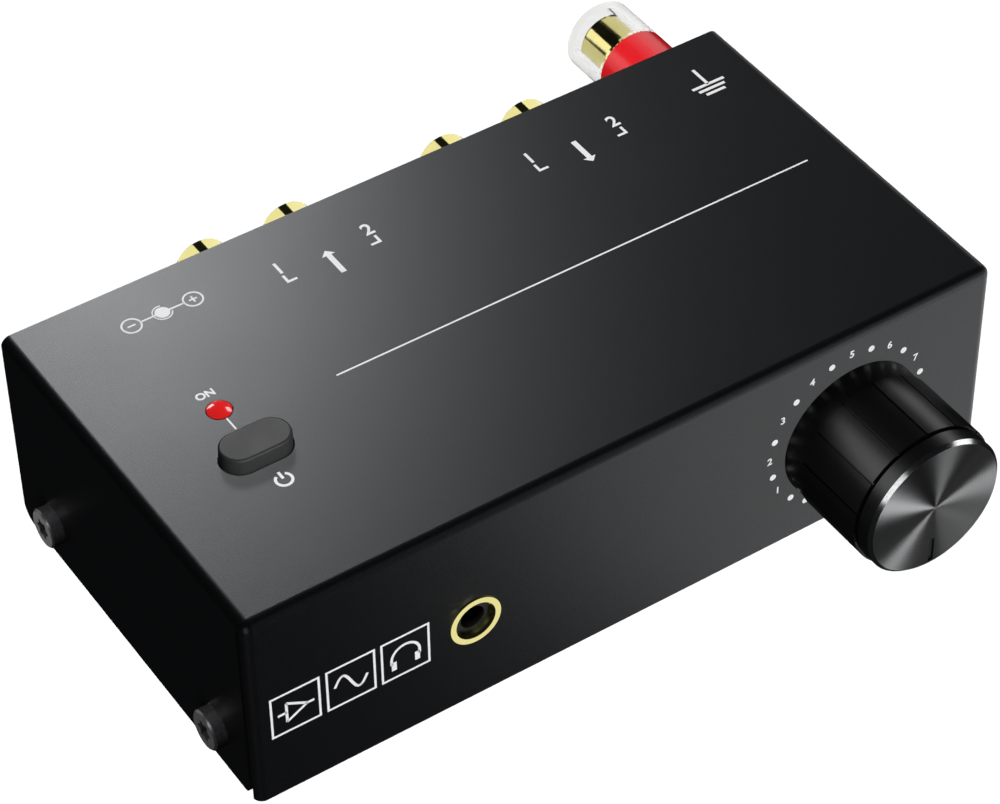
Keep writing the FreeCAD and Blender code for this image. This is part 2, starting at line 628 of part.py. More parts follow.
def make_control_bushing():
    """Front plate and threaded bushing, one casting."""
    half = CONTROL_WIDTH / 2
    plate = block(VOLUME_X - half, FRONT_INSIDE, BOARD_TOP, VOLUME_X + half, CONTROL_FRONT,
                  VOLUME_Z + CONTROL_RISE)
    bushing = plate.fuse(rod_y(VOLUME_X, VOLUME_Z, FRONT - BUSHING_PROUD, FRONT_INSIDE, BUSHING_RADIUS))
    return bushing.cut(rod_y(VOLUME_X, VOLUME_Z, FRONT - BUSHING_PROUD - 1, CONTROL_FRONT + 1,
                             SHAFT_RADIUS + SHAFT_CLEARANCE))


def make_shaft():
    """Plain turned shaft from inside the housing to inside the knob."""
    return rod_y(VOLUME_X, VOLUME_Z, SHAFT_FRONT, CONTROL_REAR - SHAFT_END_GAP - SHAFT_CLEARANCE,
                 SHAFT_RADIUS)


def make_control_washer():
    return tube_y(VOLUME_X, VOLUME_Z, FRONT - CONTROL_WASHER_THICKNESS, FRONT, CONTROL_WASHER_RADIUS,
                  BUSHING_RADIUS + THREAD_CLEARANCE)


def make_control_nut():
    rear = FRONT - CONTROL_WASHER_THICKNESS
    nut = hexagon(Vec(VOLUME_X, rear - CONTROL_NUT_THICKNESS, VOLUME_Z), BACK, UP, CONTROL_NUT_FLATS,
                  CONTROL_NUT_THICKNESS)
    return nut.cut(rod_y(VOLUME_X, VOLUME_Z, FRONT - BUSHING_PROUD - 1, FRONT,
                         BUSHING_RADIUS + THREAD_CLEARANCE))


def make_knob():
    """Turned aluminium shell: chamfered face, end ring, grooves and a hollow back."""
    ring_back = KNOB_FACE + KNOB_RING_LENGTH
    groove_back = ring_back + KNOB_GROOVE_WIDTH
    collar_front = KNOB_BACK - KNOB_COLLAR_LENGTH
    groove_floor = KNOB_RING_RADIUS - KNOB_GROOVE_DEPTH
    profile = [(0, KNOB_FACE), (KNOB_RING_RADIUS - KNOB_CHAMFER, KNOB_FACE),
               (KNOB_RING_RADIUS, KNOB_FACE + KNOB_CHAMFER), (KNOB_RING_RADIUS, ring_back),
               (groove_floor, ring_back), (groove_floor, groove_back), (KNOB_RADIUS, groove_back),
               (KNOB_RADIUS, collar_front), (KNOB_COLLAR_RADIUS, collar_front),
               (KNOB_COLLAR_RADIUS, KNOB_BACK), (KNOB_BORE, KNOB_BACK),
               (KNOB_BORE, KNOB_CORE_FRONT), (0, KNOB_CORE_FRONT)]
    knob = turned(VOLUME_X, VOLUME_Z, profile)
    half = KNOB_GRIP_WIDTH / 2
    cutters = []
    for step in range(KNOB_GRIP_GROOVES):
        groove = block(VOLUME_X - half, groove_back - SMALL, VOLUME_Z + KNOB_RADIUS - KNOB_GRIP_DEPTH,
                       VOLUME_X + half, collar_front, VOLUME_Z + KNOB_RADIUS + 1)
        cutters.append(groove.rotate(Vec(VOLUME_X, 0, VOLUME_Z), BACK, step * 360.0 / KNOB_GRIP_GROOVES))
    half = KNOB_POINTER_WIDTH / 2
    cutters.append(block(VOLUME_X - half, KNOB_FACE - 1, VOLUME_Z - KNOB_POINTER_OUTER,
                         VOLUME_X + half, KNOB_FACE + KNOB_POINTER_DEPTH, VOLUME_Z - KNOB_POINTER_INNER))
    return knob.cut(cutters)


def make_knob_core():
    """Plastic hub pressed into the shell, bored for the shaft and open round the nut."""
    core = rod_y(VOLUME_X, VOLUME_Z, KNOB_CORE_FRONT, KNOB_CORE_BACK, KNOB_BORE - KNOB_FIT)
    return core.cut(rod_y(VOLUME_X, VOLUME_Z, SHAFT_FRONT, KNOB_CORE_BACK + 1, SHAFT_RADIUS + KNOB_FIT))


# Power button, switch and light

def make_switch():
    """Push switch housing on the board, open at the top for its plunger."""
    half = SWITCH_WIDTH / 2
    body = block(BUTTON_X - half, BUTTON_Y - half, BOARD_TOP, BUTTON_X + half, BUTTON_Y + half, SWITCH_TOP)
    well = PLUNGER_WIDTH / 2 + PLUNGER_CLEARANCE
    floor = SWITCH_TOP - PLUNGER_SINK - BUTTON_TRAVEL - 2 * PLUNGER_CLEARANCE
    return body.cut(block(BUTTON_X - well, BUTTON_Y - well, floor, BUTTON_X + well, BUTTON_Y + well,
                          SWITCH_TOP + 1))


def make_plunger():
    half = PLUNGER_WIDTH / 2
    return block(BUTTON_X - half, BUTTON_Y - half, SWITCH_TOP - PLUNGER_SINK,
                 BUTTON_X + half, BUTTON_Y + half, PLUNGER_TOP)


def make_button():
    """Button cap with a lip that keeps it under the cover, and a stem over the plunger."""
    cap = stadium(BUTTON_X, BUTTON_Y, BUTTON_BOTTOM, BUTTON_TOP, BUTTON_LENGTH, BUTTON_WIDTH)
    rim = [edge for edge in cap.Edges if all(near(v.Point.z, BUTTON_TOP) for v in edge.Vertexes)]
    cap = cap.makeFillet(BUTTON_EDGE_RADIUS, rim)
    lip = stadium(BUTTON_X, BUTTON_Y, BUTTON_BOTTOM, BUTTON_LIP_TOP, BUTTON_LENGTH + 2 * BUTTON_LIP,
                  BUTTON_WIDTH + 2 * BUTTON_LIP)
    stem_bottom = PLUNGER_TOP - BUTTON_SOCKET_DEPTH
    socket = PLUNGER_WIDTH / 2 + BUTTON_SOCKET_FIT
    stem_half = BUTTON_WIDTH / 2
    stem = block(BUTTON_X - stem_half, BUTTON_Y - stem_half, stem_bottom, BUTTON_X + stem_half,
                 BUTTON_Y + stem_half, BUTTON_LIP_TOP)
    button = cap.fuse([lip, stem]).removeSplitter()
    return button.cut(block(BUTTON_X - socket, BUTTON_Y - socket, stem_bottom - 1,
                            BUTTON_X + socket, BUTTON_Y + socket, PLUNGER_TOP))


def make_light():
    """Red lens with a low dome, a straight body and a flange."""
    dome_base = TOP + LIGHT_DOME_STEP
    dome_height = TOP + LIGHT_PROUD - dome_base
    body = rod_z(BUTTON_X, LIGHT_Y, LIGHT_BOTTOM, dome_base, LIGHT_RADIUS)
    sphere_radius = (LIGHT_RADIUS ** 2 + dome_height ** 2) / (2 * dome_height)
    ball = Part.makeSphere(sphere_radius, Vec(BUTTON_X, LIGHT_Y, dome_base + dome_height - sphere_radius))
    dome = ball.common(rod_z(BUTTON_X, LIGHT_Y, dome_base, dome_base + 2 * dome_height, LIGHT_RADIUS))
    flange = rod_z(BUTTON_X, LIGHT_Y, LIGHT_BOTTOM, LIGHT_BOTTOM + LIGHT_FLANGE_THICKNESS,
                   LIGHT_FLANGE_RADIUS)
    return body.fuse([dome, flange]).removeSplitter()


def light_leg_places():
    return [(BUTTON_X + side * LIGHT_LEG_PITCH / 2, LIGHT_Y) for side in (-1, 1)]


def make_light_holder():
    """Spacer tube that stands the light off the board, with a hole for each leg."""
    holder = rod_z(BUTTON_X, LIGHT_Y, BOARD_TOP, LIGHT_BOTTOM, LIGHT_HOLDER_RADIUS)
    half = LIGHT_LEG_WIDTH / 2 + LIGHT_LEG_CLEARANCE
    cuts = [block(x - half, y - half, BOARD_TOP - 1, x + half, y + half, LIGHT_BOTTOM + 1)
            for x, y in light_leg_places()]
    return holder.cut(cuts)


def light_legs():
    half = LIGHT_LEG_WIDTH / 2
    return [block(x - half, y - half, BOARD_BOTTOM - PIN_TAIL, x + half, y + half, LIGHT_BOTTOM)
            for x, y in light_leg_places()]


# Headphone socket

def make_phones_barrel():
    """Housing with its round nose in the panel, bored for a 3.5 mm plug."""
    half = PHONES_BODY_WIDTH / 2
    rear = FRONT_INSIDE + PHONES_BODY_DEPTH
    body = block(PHONES_X - half, FRONT_INSIDE, BOARD_TOP, PHONES_X + half, rear, PHONES_Z + PHONES_BODY_RISE)
    body = body.fuse(rod_y(PHONES_X, PHONES_Z, PHONES_MOUTH, FRONT_INSIDE, PHONES_BARREL_RADIUS))
    return body.cut(rod_y(PHONES_X, PHONES_Z, PHONES_MOUTH - 1, PHONES_MOUTH + PHONES_BORE_LENGTH,
                          PHONES_BORE_RADIUS))


def make_ferrule():
    """Gold flange and sleeve round the socket's nose."""
    front = FRONT - FERRULE_PROUD
    sink = front + FERRULE_SINK_DEPTH
    inner = PHONES_BARREL_RADIUS + THREAD_CLEARANCE
    profile = [(FERRULE_INNER_RADIUS, front), (FERRULE_RADIUS, front), (FERRULE_RADIUS, FRONT),
               (FERRULE_SLEEVE_RADIUS, FRONT), (FERRULE_SLEEVE_RADIUS, FRONT_INSIDE),
               (inner, FRONT_INSIDE), (inner, sink)]
    return turned(PHONES_X, PHONES_Z, profile)


def phones_contacts():
    """Spring contacts across the housing's roof."""
    half = PHONES_CONTACT_WIDTH / 2
    reach = PHONES_CONTACT_LENGTH / 2
    top = PHONES_Z + PHONES_BODY_RISE
    contacts = []
    for step in (-1, 0, 1):
        y = PHONES_MIDDLE + step * PHONES_CONTACT_PITCH
        contacts.append(block(PHONES_X - reach, y - half, top, PHONES_X + reach, y + half,
                              top + PHONES_CONTACT_THICKNESS))
    return contacts


# Rear sockets

def make_socket_body(xs):
    """Housing of a pair of sockets, its two round bosses standing through the rear panel."""
    front = PANEL_INSIDE - SOCKET_BODY_DEPTH
    body = block(xs[0] - SOCKET_BODY_MARGIN, front, BOARD_TOP, xs[1] + SOCKET_BODY_MARGIN,
                 PANEL_INSIDE, SOCKET_Z + SOCKET_BODY_RISE)
    bosses = [rod_y(x, SOCKET_Z, PANEL_INSIDE, SOCKET_BOSS_END, SOCKET_BOSS_RADIUS) for x in xs]
    body = body.fuse(bosses)
    cuts = [rod_y(x, SOCKET_Z, SOCKET_SEAT, SOCKET_BOSS_END + 1, SOCKET_NECK_RADIUS + SOCKET_FIT)
            for x in xs]
    cuts += [rod_y(x, SOCKET_Z, SOCKET_TAIL_FRONT, SOCKET_SEAT, SOCKET_PIN_RADIUS + SOCKET_FIT) for x in xs]
    return body.cut(cuts)


def make_socket_shell(x):
    """Gold shell of one socket: a neck in the housing, then the barrel that a plug grips."""
    inner = SOCKET_SHELL_RADIUS - SOCKET_SHELL_WALL
    profile = [(inner, SOCKET_SEAT), (SOCKET_NECK_RADIUS, SOCKET_SEAT),
               (SOCKET_NECK_RADIUS, SOCKET_SHOULDER), (SOCKET_SHELL_RADIUS, SOCKET_SHOULDER),
               (SOCKET_SHELL_RADIUS, SOCKET_END - SOCKET_SHELL_CHAMFER),
               (SOCKET_SHELL_RADIUS - SOCKET_SHELL_CHAMFER, SOCKET_END), (inner, SOCKET_END)]
    return turned(x, SOCKET_Z, profile)


def make_socket_insert(x):
    """Coloured insulator inside a shell, bored for its centre contact."""
    bore = SOCKET_BORE_RADIUS + SOCKET_CONTACT_WALL + SOCKET_FIT
    mouth = SOCKET_INSERT_END - SOCKET_CONTACT_RECESS
    profile = [(bore, SOCKET_SEAT), (SOCKET_INSERT_RADIUS, SOCKET_SEAT),
               (SOCKET_INSERT_RADIUS, SOCKET_INSERT_END),
               (SOCKET_BORE_RADIUS, SOCKET_INSERT_END), (SOCKET_BORE_RADIUS, mouth), (bore, mouth)]
    return turned(x, SOCKET_Z, profile)


def make_socket_contact(x):
    """Centre contact: a tube for the plug's pin, with a tail into the housing."""
    outer = SOCKET_BORE_RADIUS + SOCKET_CONTACT_WALL
    mouth = SOCKET_INSERT_END - SOCKET_CONTACT_RECESS - SOCKET_FIT
    floor = SOCKET_SEAT + SOCKET_CONTACT_WALL
    profile = [(0, SOCKET_TAIL_FRONT), (SOCKET_PIN_RADIUS, SOCKET_TAIL_FRONT),
               (SOCKET_PIN_RADIUS, SOCKET_SEAT), (outer, SOCKET_SEAT), (outer, mouth),
               (SOCKET_BORE_RADIUS, mouth), (SOCKET_BORE_RADIUS, floor), (0, floor)]
    return turned(x, SOCKET_Z, profile)


# Power inlet

def make_inlet():
    half = INLET_BODY_WIDTH / 2
    body = block(INLET_X - half, INLET_FRONT, BOARD_TOP, INLET_X + half, PANEL_INSIDE,
                 INLET_Z + INLET_BODY_RISE)
    body = body.fuse(rod_y(INLET_X, INLET_Z, PANEL_INSIDE, INLET_MOUTH, INLET_BOSS_RADIUS))
    body = body.cut(rod_y(INLET_X, INLET_Z, INLET_FLOOR, INLET_MOUTH + 1, INLET_BORE_RADIUS))
    body = body.cut(rod_y(INLET_X, INLET_Z, INLET_FRONT - 1, INLET_FLOOR + 1, INLET_NECK_RADIUS + SOCKET_FIT))
    return body.cut(inlet_spring_block(SOCKET_FIT))


def inlet_spring_block(extra):
    """Space of the side contact, in a slot of the bore's wall."""
    half = INLET_SPRING_WIDTH / 2 + extra
    inner = INLET_Z + INLET_BORE_RADIUS - INLET_SPRING_THICKNESS / 2
    front = INLET_FLOOR + INLET_SPRING_MARGIN
    end = INLET_MOUTH - INLET_PIN_RECESS - INLET_SPRING_MARGIN
    return block(INLET_X - half, front - extra, inner, INLET_X + half, end + extra,
                 inner + INLET_SPRING_THICKNESS + extra)


def make_inlet_pin():
    """Centre pin with a round tip and a neck in the housing."""
    end = INLET_MOUTH - INLET_PIN_RECESS
    centre_pin = rod_y(INLET_X, INLET_Z, INLET_SHOULDER, end, INLET_PIN_RADIUS)
    tip = [edge for edge in centre_pin.Edges
           if len(edge.Vertexes) == 1 and near(edge.Vertexes[0].Point.y, end)]
    centre_pin = centre_pin.makeFillet(INLET_TIP_RADIUS, tip)
    return centre_pin.fuse(rod_y(INLET_X, INLET_Z, INLET_FRONT, INLET_SHOULDER, INLET_NECK_RADIUS))


# Ground post

def make_post_base():
    """Red insulator outside the panel, with a shoulder in the panel's hole."""
    base = rod_y(GROUND_X, GROUND_Z, PANEL_OUTSIDE, POST_BASE_END, POST_RADIUS)
    base = base.fuse(rod_y(GROUND_X, GROUND_Z, PANEL_INSIDE, PANEL_OUTSIDE, POST_BASE_SHOULDER_RADIUS))
    return base.cut(rod_y(GROUND_X, GROUND_Z, PANEL_INSIDE - 1, POST_BASE_END + 1,
                          POST_STUD_RADIUS + POST_FIT))


def make_post_stud():
    """Threaded stud through the panel, cross-drilled where a wire goes."""
    stud = rod_y(GROUND_X, GROUND_Z, POST_STUD_FRONT, POST_STUD_END, POST_STUD_RADIUS)
    wire_y = POST_BASE_END + POST_WASHER_THICKNESS + POST_STUD_WIRE_RADIUS
    return stud.cut(rod_z(GROUND_X, wire_y, GROUND_Z - 2 * POST_STUD_RADIUS, GROUND_Z + 2 * POST_STUD_RADIUS,
                          POST_STUD_WIRE_RADIUS))


def make_post_washer():
    """Thin knurled washer under the nut, toothed at its rim."""
    bore = POST_STUD_RADIUS + POST_STUD_CLEARANCE
    washer = tube_y(GROUND_X, GROUND_Z, POST_BASE_END, POST_WASHER_END, POST_WASHER_RADIUS, bore)
    cutters = []
    for step in range(POST_WASHER_TEETH):
        angle = 2 * math.pi * step / POST_WASHER_TEETH
        x = GROUND_X + POST_WASHER_RADIUS * math.cos(angle)
        z = GROUND_Z + POST_WASHER_RADIUS * math.sin(angle)
        cutters.append(rod_y(x, z, POST_BASE_END - 1, POST_WASHER_END + 1, POST_WASHER_TOOTH))
    return washer.cut(cutters)


def make_post_nut():
    """Gold barrel of the nut, bored for the stud right through."""
    bore = POST_STUD_RADIUS + POST_STUD_CLEARANCE
    profile = [(bore, POST_WASHER_END), (POST_NUT_RADIUS, POST_WASHER_END),
               (POST_NUT_RADIUS, POST_NUT_END - POST_NUT_CHAMFER),
               (POST_NUT_RADIUS - POST_NUT_CHAMFER, POST_NUT_END), (bore, POST_NUT_END)]
    return turned(GROUND_X, GROUND_Z, profile)


def make_post_sleeve():
    """Clear sleeve round the nut."""
    inner = POST_NUT_RADIUS + POST_FIT
    profile = [(inner, POST_WASHER_END), (POST_RADIUS, POST_WASHER_END),
               (POST_RADIUS, POST_END - POST_SLEEVE_CHAMFER),
               (POST_RADIUS - POST_SLEEVE_CHAMFER, POST_END), (inner, POST_END)]
    return turned(GROUND_X, GROUND_Z, profile)


def make_post_strap():
    """Tinned strap from the stud down to a foot soldered on the board."""
    half = POST_STRAP_WIDTH / 2
    ring = rod_y(GROUND_X, GROUND_Z, POST_STRAP_FRONT, PANEL_INSIDE, POST_STRAP_RADIUS)
    leg = block(GROUND_X - half, POST_STRAP_FRONT, BOARD_TOP, GROUND_X + half, PANEL_INSIDE, GROUND_Z)
    foot = block(GROUND_X - half, POST_STRAP_FRONT - POST_STRAP_FOOT, BOARD_TOP, GROUND_X + half,
                 PANEL_INSIDE, BOARD_TOP + POST_STRAP_THICKNESS)
    strap = ring.fuse([leg, foot]).removeSplitter()
    return strap.cut(rod_y(GROUND_X, GROUND_Z, POST_STRAP_FRONT - 1, PANEL_INSIDE + 1,
                           POST_STUD_RADIUS + POST_FIT))


def make_post_inner_washer():
    return tube_y(GROUND_X, GROUND_Z, POST_INNER_WASHER_FRONT, POST_STRAP_FRONT, POST_INNER_WASHER_RADIUS,
                  POST_STUD_RADIUS + POST_FIT)


def make_post_inner_nut():
    nut = hexagon(Vec(GROUND_X, POST_INNER_NUT_FRONT, GROUND_Z), BACK, UP, POST_INNER_NUT_FLATS,
                  POST_INNER_NUT_THICKNESS)
    return nut.cut(rod_y(GROUND_X, GROUND_Z, POST_INNER_NUT_FRONT - 1, POST_INNER_WASHER_FRONT + 1,
                         POST_STUD_RADIUS + POST_FIT))


# Parts on the board

def from_left(place):
    return LEFT + place[0], FRONT + place[1]


def from_right(place):
    return RIGHT - place[0], FRONT + place[1]


def signal_cap_points():
    return ([from_left(place) for place in SIGNAL_CAP_PLACES]
            + [from_right(place) for place in SIGNAL_CAP_RIGHT_PLACES])


def make_chip(place):
    x, y = from_left(place)
    bottom = BOARD_TOP + CHIP_RAISE
    half_length = CHIP_LENGTH / 2
    body = block(x - half_length, y - CHIP_WIDTH / 2, bottom, x + half_length, y + CHIP_WIDTH / 2,
                 bottom + CHIP_HEIGHT)
    notch = rod_z(x - half_length, y, bottom + CHIP_HEIGHT - CHIP_NOTCH_DEPTH, bottom + CHIP_HEIGHT + 1,
                  CHIP_NOTCH_RADIUS)
    return body.cut(notch)


def chip_leg_places(place):
    x, y = from_left(place)
    offsets = [(step - (CHIP_LEGS_PER_SIDE - 1) / 2) * CHIP_LEG_PITCH for step in range(CHIP_LEGS_PER_SIDE)]
    reach = CHIP_WIDTH / 2 + CHIP_LEG_THICKNESS / 2
    return [(x + offset, y + side * reach, side) for offset in offsets for side in (-1, 1)]


def chip_legs(place):
    """Legs of one chip, flat against its sides and down through the board."""
    legs = []
    for x, y, side in chip_leg_places(place):
        half_width = CHIP_LEG_WIDTH / 2
        half_thickness = CHIP_LEG_THICKNESS / 2
        legs.append(block(x - half_width, y - half_thickness, BOARD_BOTTOM - PIN_TAIL,
                          x + half_width, y + half_thickness, BOARD_TOP + CHIP_RAISE + CHIP_HEIGHT / 2))
    return legs


def make_can(x, y, radius, height):
    """Electrolytic capacitor: a can with a rolled crimp near its foot."""
    can = rod_z(x, y, BOARD_TOP, BOARD_TOP + height, radius)
    crimp_z = BOARD_TOP + CAP_CRIMP_HEIGHT
    ring = rod_z(x, y, crimp_z, crimp_z + CAP_CRIMP_WIDTH, radius + 1)
    ring = ring.cut(rod_z(x, y, crimp_z - 1, crimp_z + CAP_CRIMP_WIDTH + 1, radius - CAP_CRIMP_DEPTH))
    return can.cut(ring)


def lead_pair(x, y):
    return [(x - CAP_LEAD_PITCH / 2, y), (x + CAP_LEAD_PITCH / 2, y)]


def make_film_cap(place):
    x, y = from_left(place)
    length, width, height = FILM_CAP_SIZE
    return block(x - length / 2, y - width / 2, BOARD_TOP, x + length / 2, y + width / 2, BOARD_TOP + height)


def resistor_xs():
    return [LEFT + RESISTOR_START + step * RESISTOR_PITCH for step in range(RESISTOR_COUNT)]


def make_resistor(x):
    """Axial resistor with bulged ends, lying along Y on the board."""
    y = FRONT + RESISTOR_FROM_FRONT
    half = RESISTOR_LENGTH / 2
    waist = RESISTOR_RADIUS - RESISTOR_WAIST
    waist_half = half - RESISTOR_BULGE
    profile = [(0, y - half), (RESISTOR_RADIUS, y - half), (RESISTOR_RADIUS, y - waist_half),
               (waist, y - waist_half), (waist, y + waist_half), (RESISTOR_RADIUS, y + waist_half),
               (RESISTOR_RADIUS, y + half), (0, y + half)]
    return turned(x, BOARD_TOP + RESISTOR_RADIUS, profile)


def resistor_leads(x):
    """A lead at each end, out along the axis and down through the board."""
    y = FRONT + RESISTOR_FROM_FRONT
    z = BOARD_TOP + RESISTOR_RADIUS
    leads = []
    for side in (-1, 1):
        start = y + side * RESISTOR_LENGTH / 2
        end = start + side * RESISTOR_LEAD_REACH
        along = rod_y(x, z, min(start, end), max(start, end), RESISTOR_LEAD_RADIUS)
        corner = Part.makeSphere(RESISTOR_LEAD_RADIUS, Vec(x, end, z))
        down = rod_z(x, end, BOARD_BOTTOM - PIN_TAIL, z, RESISTOR_LEAD_RADIUS)
        leads.append(along.fuse([corner, down]).removeSplitter())
    return leads


def resistor_lead_places():
    reach = RESISTOR_LENGTH / 2 + RESISTOR_LEAD_REACH
    y = FRONT + RESISTOR_FROM_FRONT
    return [(x, y + side * reach) for x in resistor_xs() for side in (-1, 1)]


def make_regulator():
    """Upright regulator with its cooling tab behind the moulding."""
    x, y = from_left(REGULATOR_PLACE)
    half = REGULATOR_WIDTH / 2
    bottom = BOARD_TOP + REGULATOR_RAISE
    body = block(x - half, y, bottom, x + half, y + REGULATOR_THICKNESS, bottom + REGULATOR_HEIGHT)
    tab_top = bottom + REGULATOR_HEIGHT + REGULATOR_TAB_HEIGHT
    tab = block(x - half, y, bottom + REGULATOR_HEIGHT, x + half, y + REGULATOR_TAB_THICKNESS, tab_top)
    hole_z = bottom + REGULATOR_HEIGHT + REGULATOR_TAB_HEIGHT / 2
    return body.fuse(tab).cut(rod_y(x, hole_z, y - 1, y + REGULATOR_THICKNESS, REGULATOR_TAB_HOLE))


def regulator_leg_places():
    x, y = from_left(REGULATOR_PLACE)
    return [(x + step * REGULATOR_LEG_PITCH, y + REGULATOR_THICKNESS / 2) for step in (-1, 0, 1)]


def component_pins():
    """Solder pins of the cans, film capacitors, regulator, sockets, inlet, switch and control."""
    pins = []
    two_leads = signal_cap_points() + [from_left(place) for place in FILM_CAP_PLACES + [POWER_CAP_PLACE]]
    for middle in two_leads:
        pins += [(x, y, BOARD_TOP) for x, y in lead_pair(*middle)]
    pins += [(x, y, BOARD_TOP + REGULATOR_RAISE) for x, y in regulator_leg_places()]
    for x in OUTPUT_XS + INPUT_XS:
        pins += [(x, PANEL_INSIDE - distance, BOARD_TOP) for distance in SOCKET_SOLDER_PINS]
    pins += [(INLET_X, PANEL_INSIDE - distance, BOARD_TOP) for distance in INLET_SOLDER_PINS]
    control_middle = (CONTROL_FRONT + CONTROL_REAR) / 2
    for side in (-1, 1):
        pins += [(BUTTON_X + side * SWITCH_PIN_PITCH, BUTTON_Y + step * SWITCH_PIN_PITCH, BOARD_TOP)
                 for step in (-1, 0, 1)]
        pins.append((PHONES_X + side * PHONES_PIN_PITCH / 2, PHONES_MIDDLE, BOARD_TOP))
        pins += [(VOLUME_X + step * CONTROL_PIN_PITCH, control_middle + side * CONTROL_PIN_ROWS / 2, BOARD_TOP)
                 for step in (-1, 0, 1)]
    return pins


def drilled_holes():
    """Every solder hole of the board, as (x, y, radius)."""
    holes = [(x, y, CAP_LEAD_RADIUS + THREAD_CLEARANCE) for x, y, top in component_pins()]
    holes += [(x, y, RESISTOR_LEAD_RADIUS + THREAD_CLEARANCE) for x, y in resistor_lead_places()]
    holes += [(x, y, LIGHT_LEG_WIDTH / 2 + LIGHT_LEG_CLEARANCE) for x, y in light_leg_places()]
    for place in CHIP_PLACES:
        holes += [(x, y, CHIP_LEG_WIDTH / 2 + LIGHT_LEG_CLEARANCE) for x, y, side in chip_leg_places(place)]
    return holes


def main():
    os.makedirs("parts", exist_ok=True)
    save("top_cover", make_cover())
    save("base_tray", make_tray())
    save("rubber_feet", *make_feet())
    save("side_screws", *[side_screw(side, y) for side in (-1, 1) for y in SCREW_YS])
    save("pressed_nuts", *[pressed_nut(side, y) for side in (-1, 1) for y in SCREW_YS])
    save("board_standoffs", *[standoff(x, y) for x, y in standoff_places()])
    save("board_screws", *[board_screw(x, y) for x, y in standoff_places()])
    save("circuit_board", make_board(drilled_holes()))

    save("volume_control", make_control())
    save("volume_bushing", make_control_bushing())
    save("volume_shaft", make_shaft())
    save("volume_washer", make_control_washer())
    save("volume_nut", make_control_nut())
    save("volume_knob", make_knob())
    save("knob_core", make_knob_core())

    save("power_switch", make_switch())
    save("switch_plunger", make_plunger())
    save("power_button", make_button())
    save("power_light", make_light())
    save("light_holder", make_light_holder())
    save("light_legs", *light_legs())

    save("headphone_socket", make_phones_barrel())
    save("headphone_ferrule", make_ferrule())
    save("headphone_contacts", *phones_contacts())

    for name, xs in (("output", OUTPUT_XS), ("input", INPUT_XS)):
        save(name + "_socket_body", make_socket_body(xs))
        save(name + "_socket_shells", *[make_socket_shell(x) for x in xs])
        save(name + "_socket_contacts", *[make_socket_contact(x) for x in xs])
    save("left_socket_inserts", make_socket_insert(OUTPUT_XS[0]), make_socket_insert(INPUT_XS[0]))
    save("right_socket_inserts", make_socket_insert(OUTPUT_XS[1]), make_socket_insert(INPUT_XS[1]))

    save("power_inlet", make_inlet())
    save("inlet_pin", make_inlet_pin())
    save("inlet_spring", inlet_spring_block(0))

    save("ground_post_base", make_post_base())
    save("ground_post_stud", make_post_stud())
    save("ground_post_washer", make_post_washer())
    save("ground_post_nut", make_post_nut())
    save("ground_post_sleeve", make_post_sleeve())
    save("ground_strap", make_post_strap())
    save("ground_inner_washer", make_post_inner_washer())
    save("ground_inner_nut", make_post_inner_nut())

    save("amplifier_chips", *[make_chip(place) for place in CHIP_PLACES])
    save("chip_legs", *[leg for place in CHIP_PLACES for leg in chip_legs(place)])
    save("power_capacitor", make_can(*from_left(POWER_CAP_PLACE), POWER_CAP_RADIUS, POWER_CAP_HEIGHT))
    save("signal_capacitors", *[make_can(x, y, SIGNAL_CAP_RADIUS, SIGNAL_CAP_HEIGHT)
                                for x, y in signal_cap_points()])
    save("film_capacitors", *[make_film_cap(place) for place in FILM_CAP_PLACES])
    save("resistors", *[make_resistor(x) for x in resistor_xs()])
    save("resistor_leads", *[lead for x in resistor_xs() for lead in resistor_leads(x)])
    save("voltage_regulator", make_regulator())
    save("solder_pins", *[pin(x, y, top, CAP_LEAD_RADIUS) for x, y, top in component_pins()])


main()
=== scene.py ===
# Looks of a compact phono preamp, dressed over its packed construction.
# Metres, in the construction's frame: X right seen from the front, Y to the rear, Z up.

import json
import math

import bpy
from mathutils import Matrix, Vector

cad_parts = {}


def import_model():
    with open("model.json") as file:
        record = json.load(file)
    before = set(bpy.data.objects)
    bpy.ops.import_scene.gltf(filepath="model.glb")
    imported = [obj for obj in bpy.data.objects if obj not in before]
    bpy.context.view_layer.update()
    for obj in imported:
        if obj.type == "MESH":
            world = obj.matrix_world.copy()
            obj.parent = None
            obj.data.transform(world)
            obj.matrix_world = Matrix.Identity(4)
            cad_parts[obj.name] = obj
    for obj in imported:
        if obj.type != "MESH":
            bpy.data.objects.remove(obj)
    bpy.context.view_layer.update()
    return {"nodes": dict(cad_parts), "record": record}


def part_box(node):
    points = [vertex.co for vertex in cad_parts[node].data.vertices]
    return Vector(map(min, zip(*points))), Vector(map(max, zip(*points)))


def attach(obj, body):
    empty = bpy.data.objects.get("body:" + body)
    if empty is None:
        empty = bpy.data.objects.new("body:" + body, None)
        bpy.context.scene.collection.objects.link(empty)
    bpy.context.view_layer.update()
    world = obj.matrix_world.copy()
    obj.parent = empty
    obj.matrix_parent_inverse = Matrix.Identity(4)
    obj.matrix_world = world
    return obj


MM = 0.001

# Camera of the photograph: place in millimetres, turn in degrees
CAMERA_PLACE = (-190.12, -291.95, 353.99)
CAMERA_TURN = (45.968, 0.669, -33.606)
LENS = 128.93
SENSOR = 36.0

# Ink, its lines and its letters, in millimetres
INK_THICKNESS = 0.02
INK_SINK = 0.004
LINE = 0.40
THIN_LINE = 0.25
LETTER_SIZE_PER_HEIGHT = 1.37
LETTER_BOLD = 0.06

